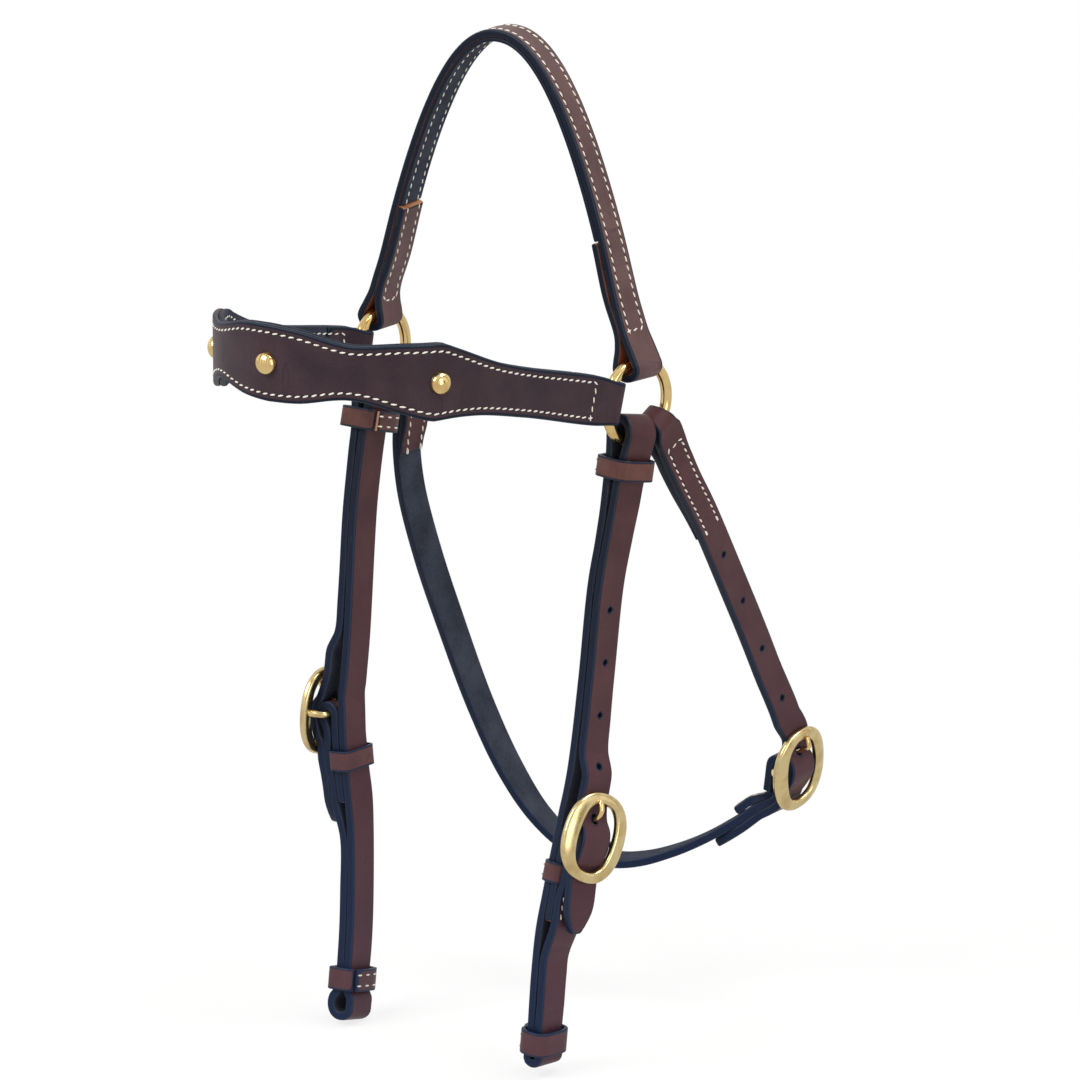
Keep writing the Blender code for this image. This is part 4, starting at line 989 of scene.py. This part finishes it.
def keeperLoop(name, line, distance, low, high, lapFront, body, height, thickness):
    # a narrow strap wrapped round the layers, with its ends lapped and sewn on the front or the back
    point, tangent, across, outward = line.at(distance)
    middle = point + (low + high) / 2 * outward
    wide = leather["width"] / 2 + keepers["side"] + thickness / 2
    deep = (high - low) / 2 + keepers["clearance"] + thickness / 2
    corner = min(keepers["farCorner" if name.endswith("Left") else "corner"], deep * 0.9)
    start = corner - wide + 0.0002
    outline = [(start, deep)]
    for sx, sy, first in ((-1, 1, 90), (-1, -1, 180), (1, -1, 270), (1, 1, 0)):
        for angle in [math.radians(first + 90 * step / 4) for step in range(5)]:
            x, y = sx * (wide - corner), sy * (deep - corner)
            outline.append((x + corner * math.cos(angle), y + corner * math.sin(angle)))
    outline += [(wide - corner - 0.0012, deep + thickness * 0.45),
                (start + keepers["lap"] * 0.45, deep + thickness * 1.02), (start - 0.0004, deep + thickness * 1.04)]
    turn = 1 if lapFront else -1
    dense = smoothPath([middle + turn * x * across + turn * y * outward for x, y in outline], perSpan=5)
    route = Path(dense, [tangent] * len(dense))
    side = route.at(route.length * 0.3)
    if np.dot(side[3], side[0] - middle) < 0:
        route = Path(dense, [-tangent] * len(dense))
    piece = strap(name, route, [keeperLeather, blackFlesh, rawCut], thickness,
                  lambda s: np.full(np.shape(s), height / 2), raw=[route.length] if name.startswith("keeperTop") else [])
    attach(piece, body)
    s = np.linspace(route.length - 0.0022, route.length - keepers["lap"], 12)
    rows = [(route.place(s, np.full(12, v), np.full(12, thickness / 2)), route.at(s)[3])
            for v in (-height * 0.24, height * 0.24)]
    stitches = stitchRows(name + "Stitches", rows, **keepers["stitches"])
    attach(stitches, body)
    return piece


# cheeks

cheeks = {
    "right": {
        "points": [
            ((0.0888, -0.0045, -0.0215), 9), ((0.0882, -0.0091, -0.0465), 8), ((0.0864, -0.0146, -0.0717), 5),
            ((0.0845, -0.0193, -0.0970), 3), ((0.0815, -0.0237, -0.1500), 2), ((0.0785, -0.0288, -0.2000), 7),
            ((0.0768, -0.0358, -0.2300), 12), ((0.0757, -0.0402, -0.2480), 12), ((0.0746, -0.0446, -0.2660), 9),
            ((0.0735, -0.0490, -0.2840), 4), ((0.0720, -0.0512, -0.3080), 1), ((0.0707, -0.0516, -0.3260), 0),
            ((0.0698, -0.0525, -0.3430), 0), ((0.0690, -0.0534, -0.3576), 0),
        ],
        "bar": 0.2135, "aside": 0.0008, "lean": -13, "tip": 0.0518, "tipRise": 0.0010, "gap": 0.0006, "parted": 0.0026,
        "bitLoop": 0.0100, "loopHalfWidth": 0.0042, "topKeeper": 0.0138, "middleKeeper": 0.0220,
        "bottomKeeper": 0.0124, "bottomHeight": 0.0134, "hug": 0.0013,
    },
    "left": {
        "points": [
            ((-0.0894, -0.0060, -0.0211), -1), ((-0.0890, -0.0119, -0.0433), -2), ((-0.0882, -0.0167, -0.0657), -2),
            ((-0.0872, -0.0211, -0.0880), -2), ((-0.0828, -0.0318, -0.1520), -3), ((-0.0816, -0.0376, -0.1880), -3),
            ((-0.0797, -0.0392, -0.2050), -3), ((-0.0778, -0.0396, -0.2230), -2), ((-0.0757, -0.0391, -0.2410), 0),
            ((-0.0746, -0.0392, -0.2590), -3), ((-0.0724, -0.0420, -0.2970), -4), ((-0.0710, -0.0448, -0.3180), -4),
            ((-0.0695, -0.0492, -0.3400), -5), ((-0.0680, -0.0540, -0.3620), -6),
        ],
        "bar": 0.1772, "aside": 0.0, "lean": 0, "tip": 0.062, "tipRise": -0.0011, "gap": 0.0002, "parted": 0.0008,
        "bitLoop": 0.0188, "loopHalfWidth": 0.0066, "topKeeper": 0.0160, "middleKeeper": 0.0240,
        "bottomKeeper": 0.0218, "bottomHeight": 0.0124, "hug": 0.0006,
    },
    "tilt": 7, "eyeNeck": 0.022, "middleLeather": 0.0015, "topSlack": 0.0034, "turnBack": 0.048,
    "chapeInset": 0.0024,   # of the stitches beside the buckle
    "swell": 0.0016,        # of the front ply over the middle keeper
}


def makeCheek(side):
    sizes = cheeks[side]
    sign = 1 if side == "right" else -1
    title = side.title()
    turns = [math.radians(yaw) for _, yaw in sizes["points"]]
    line = lineThrough([point for point, _ in sizes["points"]],
                       [(sign * math.sin(turn), sign * math.cos(turn), 0.0) for turn in turns])
    bar, end = sizes["bar"], line.length
    layer = (leather["thick"] + sizes["gap"]) / 2
    height = layer + fold
    # the two loops: the bit's is flattened at its back, the ring's is parted from the back ply
    deep, wide = sizes["bitLoop"], sizes["loopHalfWidth"]
    half = [(deep, layer), (deep * 0.80, layer * 1.35), (deep * 0.60, wide * 0.92),
            (deep * 0.40, wide), (deep * 0.20, wide * 0.80), (deep * 0.08, wide * 0.34)]
    bitEye = [(u, max(-h, -wide * 0.84)) for u, h in half] + half[::-1]
    ringEye = eyeProfile(0.0128, 0.0074, cheeks["eyeNeck"], layer)
    parted = sizes["parted"]
    ringEye[0] = (cheeks["eyeNeck"] * 0.86, -layer - parted)
    ringEye[1] = (cheeks["eyeNeck"] * 0.45, -layer - parted * 0.75 - 0.0008)

    # down in front of the turned-back end, swelling over the middle keeper, and on to the bit's loop
    front = layer + plyPitch
    over = front + cheeks["swell"]
    tail, kept = bar + cheeks["turnBack"], bar + sizes["middleKeeper"]
    down = [(bar + 0.006, front + 0.0018), (bar + 0.0105, front + 0.0006), (kept - 0.004, over), (kept + 0.004, over),
            (kept + 0.0125, front), (tail, front), (tail + 0.020, layer), ((tail + end - 0.020) / 2, layer),
            (end - 0.034, layer)]
    # up behind to the ring's loop, and down the face again, through the buckle to the tip
    back = [(u, -layer) for u in np.linspace(end - 0.034, 0.056, 20)]
    back += [(0.040, -layer - parted * 0.30), (0.028, -layer - parted * 0.75)]
    billet = [(u, layer) for u in np.linspace(0.032, bar - 0.085, 10)]
    billet += [(bar - 0.062, layer + 0.0004), (bar - 0.045, layer + 0.0012)]
    through = throughBuckle(bar, height, cheeks["tilt"])
    lift = through[-1][1]
    profile = [(tail, layer), (bar + 0.024, layer), (bar + 0.006, layer)]
    profile += barFold(bar, height) + down + atFarEnd(end, bitEye) + back + ringEye + billet + through
    tip, rise = bar + sizes["tip"], sizes["tipRise"]
    profile += [(bar + 0.032, lift + rise * 0.8), (tip - 0.012, lift + rise), (tip, lift + rise * 0.6)]
    route = routeBeside(line, profile, bar)
    holes = [foldSlot(route, line, bar, height)] + billetHoles(route, line, bar, height, billets["holePitch"])
    body = "cheek_" + side
    piece = strap("cheekStrap" + title, route, [cheekLeather, blackFlesh, rawCut], leather["thick"],
                  billetWidth(route.length), holes, raw=[0.0])
    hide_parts("cheek_strap_" + side)
    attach(piece, body)
    piece = buckleFrame("cheekBuckle" + title, line, bar, height, cheeks["tilt"], sizes["lean"], sizes["aside"])
    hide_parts("cheek_buckle_" + side)
    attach(piece, body)
    piece = bucklePin("cheekProng" + title, line, bar, height, cheeks["tilt"])
    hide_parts("cheek_prong_" + side)
    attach(piece, "cheek_prong_" + side)
    ends = spotsOn(route, line, front, bar + 0.0100, tail - 0.004)
    rows = [endRow(route, *ends, leather["width"] / 2 - cheeks["chapeInset"], leather["thick"] / 2)]
    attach(stitchRows("chapeStitches" + title, rows), body)
    outside, slack, hug = layer + leather["thick"] / 2, cheeks["topSlack"], sizes["hug"]
    tall, thickness = keepers["height"], keepers["leather"]
    for label, distance, low, high, lapFront, rider, tall, thickness in (
        ("top", sizes["topKeeper"], -outside - slack - parted, outside + slack, False, "keeper_top_" + side,
         tall, thickness),
        ("middle", kept, -outside - 0.0006, outside - keepers["clearance"], side == "left", body,
         tall, cheeks["middleLeather"]),
        ("bottom", end - sizes["bottomKeeper"], -outside - hug, outside + hug, False, "keeper_bottom_" + side,
         sizes["bottomHeight"], thickness),
    ):
        piece = keeperLoop("keeper" + label.title() + title, line, distance, low, high, lapFront, rider, tall, thickness)
        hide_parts(f"keeper_{label}_{side}")


makeCheek("right")
makeCheek("left")
print("cheeks made")


# throatlash

throatlash = {
    "bar": 0.2555, "tip": 0.0585, "turnBack": 0.040, "billetTurnBack": 0.080, "ringTurnBack": 0.049, "holePitch": 0.037,
    "skiveLeft": 0.12, "tilt": 2, "lean": 8,
    "straight": 0.016,    # how far the straps stay straight on each side of the bar
    "waistLength": 0.016, "waist": 0.0045, "eyeDepth": 0.0072, "eyeWide": 0.0068,
    "route": [
        ((0.0912, 0.0153, -0.0152), (0.10, 0.79, 0.61)), ((0.0918, 0.0204, -0.0228), (0.08, 0.80, 0.60)),
        ((0.0926, 0.0252, -0.0314), (0.04, 0.82, 0.57)), ((0.0920, 0.0364, -0.0495), (0.0, 0.82, 0.57)),
        ((0.0902, 0.0521, -0.0707), (0.0, 0.82, 0.57)), ((0.0854, 0.0809, -0.1120), (0.0, 0.83, 0.56)),
        ((0.0825, 0.1070, -0.1530), (0.0, 0.84, 0.54)), ((0.0807, 0.1272, -0.1880), (0.0, 0.88, 0.46)),
        ((0.0790, 0.1392, -0.2150), (0.06, 0.97, 0.22)), ((0.0758, 0.1436, -0.2376), (0.0, 0.98, 0.19)),
        ((0.0695, 0.1395, -0.2510), (-0.10, 0.98, 0.17)), ((0.0612, 0.1315, -0.2608), (-0.17, 0.98, 0.10)),
        ((0.0520, 0.1235, -0.2688), (-0.24, 0.96, 0.02)), ((0.0420, 0.1150, -0.2760), (-0.30, 0.95, -0.04)),
        ((0.0300, 0.1060, -0.2825), (-0.30, 0.95, -0.03)), ((0.0150, 0.0965, -0.2880), (-0.30, 0.95, 0.0)),
        ((0.0000, 0.0890, -0.2895), (-0.33, 0.94, 0.0)), ((-0.0220, 0.0825, -0.2840), (-0.28, 0.96, 0.0)),
        ((-0.0416, 0.0790, -0.2705), (-0.19, 0.98, 0.0)), ((-0.0603, 0.0750, -0.2460), (-0.10, 0.99, 0.10)),
        ((-0.0758, 0.0690, -0.2120), (-0.08, 0.98, 0.18)), ((-0.0848, 0.0544, -0.1640), (-0.04, 0.95, 0.30)),
        ((-0.0879, 0.0388, -0.1220), (0.0, 0.95, 0.30)), ((-0.0887, 0.0262, -0.0830), (0.0, 0.97, 0.25)),
        ((-0.0888, 0.0226, -0.0560), (0.0, 1.0, 0.05)), ((-0.0890, 0.0238, -0.0400), (0.0, 1.0, 0.06)),
        ((-0.0897, 0.0232, -0.0280), (0.0, 0.93, 0.36)), ((-0.0902, 0.0206, -0.0214), (0.0, 0.82, 0.57)),
        ((-0.0906, 0.0159, -0.0152), (0.0, 0.79, 0.61)),
    ],
}


def waisted(half, crest):
    # narrower where the throatlash folds beside the cheek
    def narrowed(s):
        ease = np.clip(np.abs(np.asarray(s) - crest) / throatlash["waistLength"], 0.0, 1.0)
        return half(s) - throatlash["waist"] * (1 - ease**1.5)
    return narrowed


throatLine = lineThrough(*zip(*throatlash["route"]))
bar, end = throatlash["bar"], throatLine.length
height = -thickLayer + fold
ringEye = eyeProfile(throatlash["eyeDepth"], throatlash["eyeWide"], 0.0200, thickLayer)
thinEnd = throatlash["skiveLeft"]
nearPly = -(leather["gap"] + leather["thick"] * thinEnd) / 2

# the long part: its turned-back end, round the bar, down under the jaw and up to the left ring
down = [(bar + 0.008, height + fold - 0.0006), (bar + 0.018, thickLayer + 0.0006)]
down += [(bar + u, thickLayer) for u in (0.025, 0.032, 0.038)]
along = [(u, thickLayer) for u in np.linspace(bar + 0.045, end - 0.026, 26)]
profile = [(bar + u, -thickLayer) for u in (throatlash["turnBack"], 0.033, 0.027, 0.020, 0.013, 0.006)]
profile += barFold(bar, height) + down + along + atFarEnd(end, ringEye)
profile += [(end - 0.030, -thickLayer), (end - throatlash["ringTurnBack"], nearPly)]
strapRoute = routeBeside(throatLine, profile, bar, throatlash["straight"])
crest, = spotsOn(strapRoute, throatLine, 0.0, end + throatlash["eyeDepth"])
leftStitch = (end - 0.0115, end - throatlash["ringTurnBack"] + 0.003)
throatStrap = strap("throatlashStrap", strapRoute, [cheekLeather, blackFlesh, rawCut], leather["thick"],
                    waisted(plainWidth, crest), [foldSlot(strapRoute, throatLine, bar, height)],
                    raw=[0.0, strapRoute.length], skived=[(strapRoute.length, 0.016, thinEnd)])
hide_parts("throatlash_strap")
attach(throatStrap, "throatlash")

# the short part: its skived end, round the right ring, and down the face through the buckle
through = throughBuckle(bar, height, throatlash["tilt"])
lift, lay = through[-1][1], thickLayer + plyPitch
neck = 0.026
slope = throatlash["billetTurnBack"] - neck
profile = [(neck + slope * (1 - part), nearPly * (1 - part) - thickLayer * part) for part in (0.0, 0.25, 0.5, 0.75, 1.0)]
profile += ringEye + [(u, thickLayer) for u in np.linspace(0.030, bar - 0.085, 11)]
profile += [(bar - 0.060, thickLayer)] + through
profile += [(bar + throatlash["tip"] - 0.018, (lift + lay) / 2), (bar + throatlash["tip"], lay + 0.0002)]
billetRoute = routeBeside(throatLine, profile, bar, throatlash["straight"])
crest, = spotsOn(billetRoute, throatLine, 0.0, -throatlash["eyeDepth"])
rightStitch = (0.0132, throatlash["billetTurnBack"] - 0.004)
throatBillet = strap("throatlashBillet", billetRoute, [cheekLeather, blackFlesh, rawCut], leather["thick"],
                     waisted(billetWidth(billetRoute.length), crest),
                     billetHoles(billetRoute, throatLine, bar, height, throatlash["holePitch"]),
                     [spotsOn(billetRoute, throatLine, thickLayer, *rightStitch)],
                     raw=[0.0], skived=[(0.0, slope, thinEnd)])
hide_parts("throatlash_billet")
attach(throatBillet, "throatlash")
piece = buckleFrame("throatlashBuckle", throatLine, bar, height, throatlash["tilt"], throatlash["lean"])
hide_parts("throatlash_buckle")
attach(piece, "throatlash")
piece = bucklePin("throatlashProng", throatLine, bar, height, throatlash["tilt"])
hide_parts("throatlash_prong")
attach(piece, "throatlash_prong")

edge = leather["width"] / 2 - leather["stitchInset"]
face = leather["thick"] / 2
rows, knots = [], []
for onRoute, near, far, sides in (
    (billetRoute, *rightStitch, (thickLayer, -thickLayer)),
    (strapRoute, *leftStitch, (thickLayer, -thickLayer)),
    (strapRoute, bar + 0.011, bar + throatlash["turnBack"] - 0.004, (-thickLayer,)),
):
    for offset in sides:
        a, b = spotsOn(onRoute, throatLine, offset, near, far)
        rows.append(endRow(onRoute, a, b, edge, face))
        ends = (b, b + math.copysign(0.0011, b - a))
        knots += [rowBeside(onRoute, [(u, v) for u in ends], face) for v in (-edge, edge)]
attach(stitchRows("throatlashStitches", rows), "throatlash")
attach(stitchRows("throatlashKnots", knots, Length=0.0024, Width=0.0015, Height=0.0012), "throatlash")
print("throatlash made")


# floor and light

floorMesh = newMesh("floor", [(-30, -30, 0), (30, -30, 0), (30, 30, 0), (-30, 30, 0)], [(0, 1, 2, 3)])
floorMesh.data.transform(Matrix.Translation((0.0, 0.0, float(cadBox[0][2]) - 0.0005)))
paper = bpy.data.materials.new("whitePaperSweep")   # matt photographic paper
add = nodesOf(paper)
matt = add("BsdfDiffuse", {"Color": "#f2f2f0"})["BSDF"]
ray = add("LightPath")
level = add("MapRange", [ray["Is Glossy Ray"], 0.0, 1.0, 1.0, 0.70])["Result"]
glow = add("Emission", {"Color": "#ffffff", "Strength": level})["Emission"]
away = add("VectorMath", [add("TexCoord")["Object"]], operation="LENGTH")["Value"]
share = add("MapRange", [away, 0.45, 1.1, 0.75, 1.0])["Result"]
straight = add("Math", [ray["Is Camera Ray"], share], operation="MULTIPLY")[0]
amount = add("Math", [straight, ray["Is Glossy Ray"]], operation="MAXIMUM")[0]
add("OutputMaterial", {"Surface": add("MixShader", [amount, matt, glow])["Shader"]})
floorMesh.data.materials.append(paper)

# a white studio: white to the camera, light and dark bands in what shines, and a soft fill for the rest
world = bpy.data.worlds.new("studio")
bpy.context.scene.world = world
add = nodesOf(world)
ray = add("LightPath")
bands = add("TexWave", {"Vector": add("TexCoord")["Generated"], "Scale": 0.9, "Distortion": 2.0, "Detail": 1.0,
                        "Phase Offset": 1.6}, bands_direction="X")["Fac"]
mirrored = add("MapRange", [bands, 0.05, 0.32, 0.22, 1.0])["Result"]
clear = add("Math", [ray["Is Camera Ray"], ray["Is Transmission Ray"]], operation="MAXIMUM")[0]
glossy = add("Math", [ray["Is Glossy Ray"], mirrored], operation="MULTIPLY")[0]
others = add("Math", [1.0, ray["Is Glossy Ray"]], operation="SUBTRACT")[0]
soft = add("Math", [others, 0.50], operation="MULTIPLY")[0]
strength = clear
for part in (glossy, soft):
    strength = add("Math", [strength, part], operation="MAXIMUM")[0]
add("OutputWorld", {"Surface": add("Background", {"Color": "#ffffff", "Strength": strength})["Background"]})


def softBox(name, place, size, power):
    data = bpy.data.lights.new(name, "AREA")
    data.shape = "RECTANGLE"
    data.size, data.size_y = size
    data.energy = power
    obj = linked(name, data)
    obj.location = place
    obj.rotation_euler = (Vector(place) - Vector((0.0, 0.0, -0.25))).to_track_quat("Z", "Y").to_euler()


softBox("keyLight", (-0.5, -1.5, 1.1), (1.2, 1.0), 28.0)
softBox("fillLight", (2.0, -0.5, 0.3), (1.0, 1.4), 10.0)
softBox("topLight", (0.7, 0.5, 1.6), (1.2, 0.8), 22.0)
bpy.context.scene.view_settings.view_transform = "Standard"
print("floor and light made")
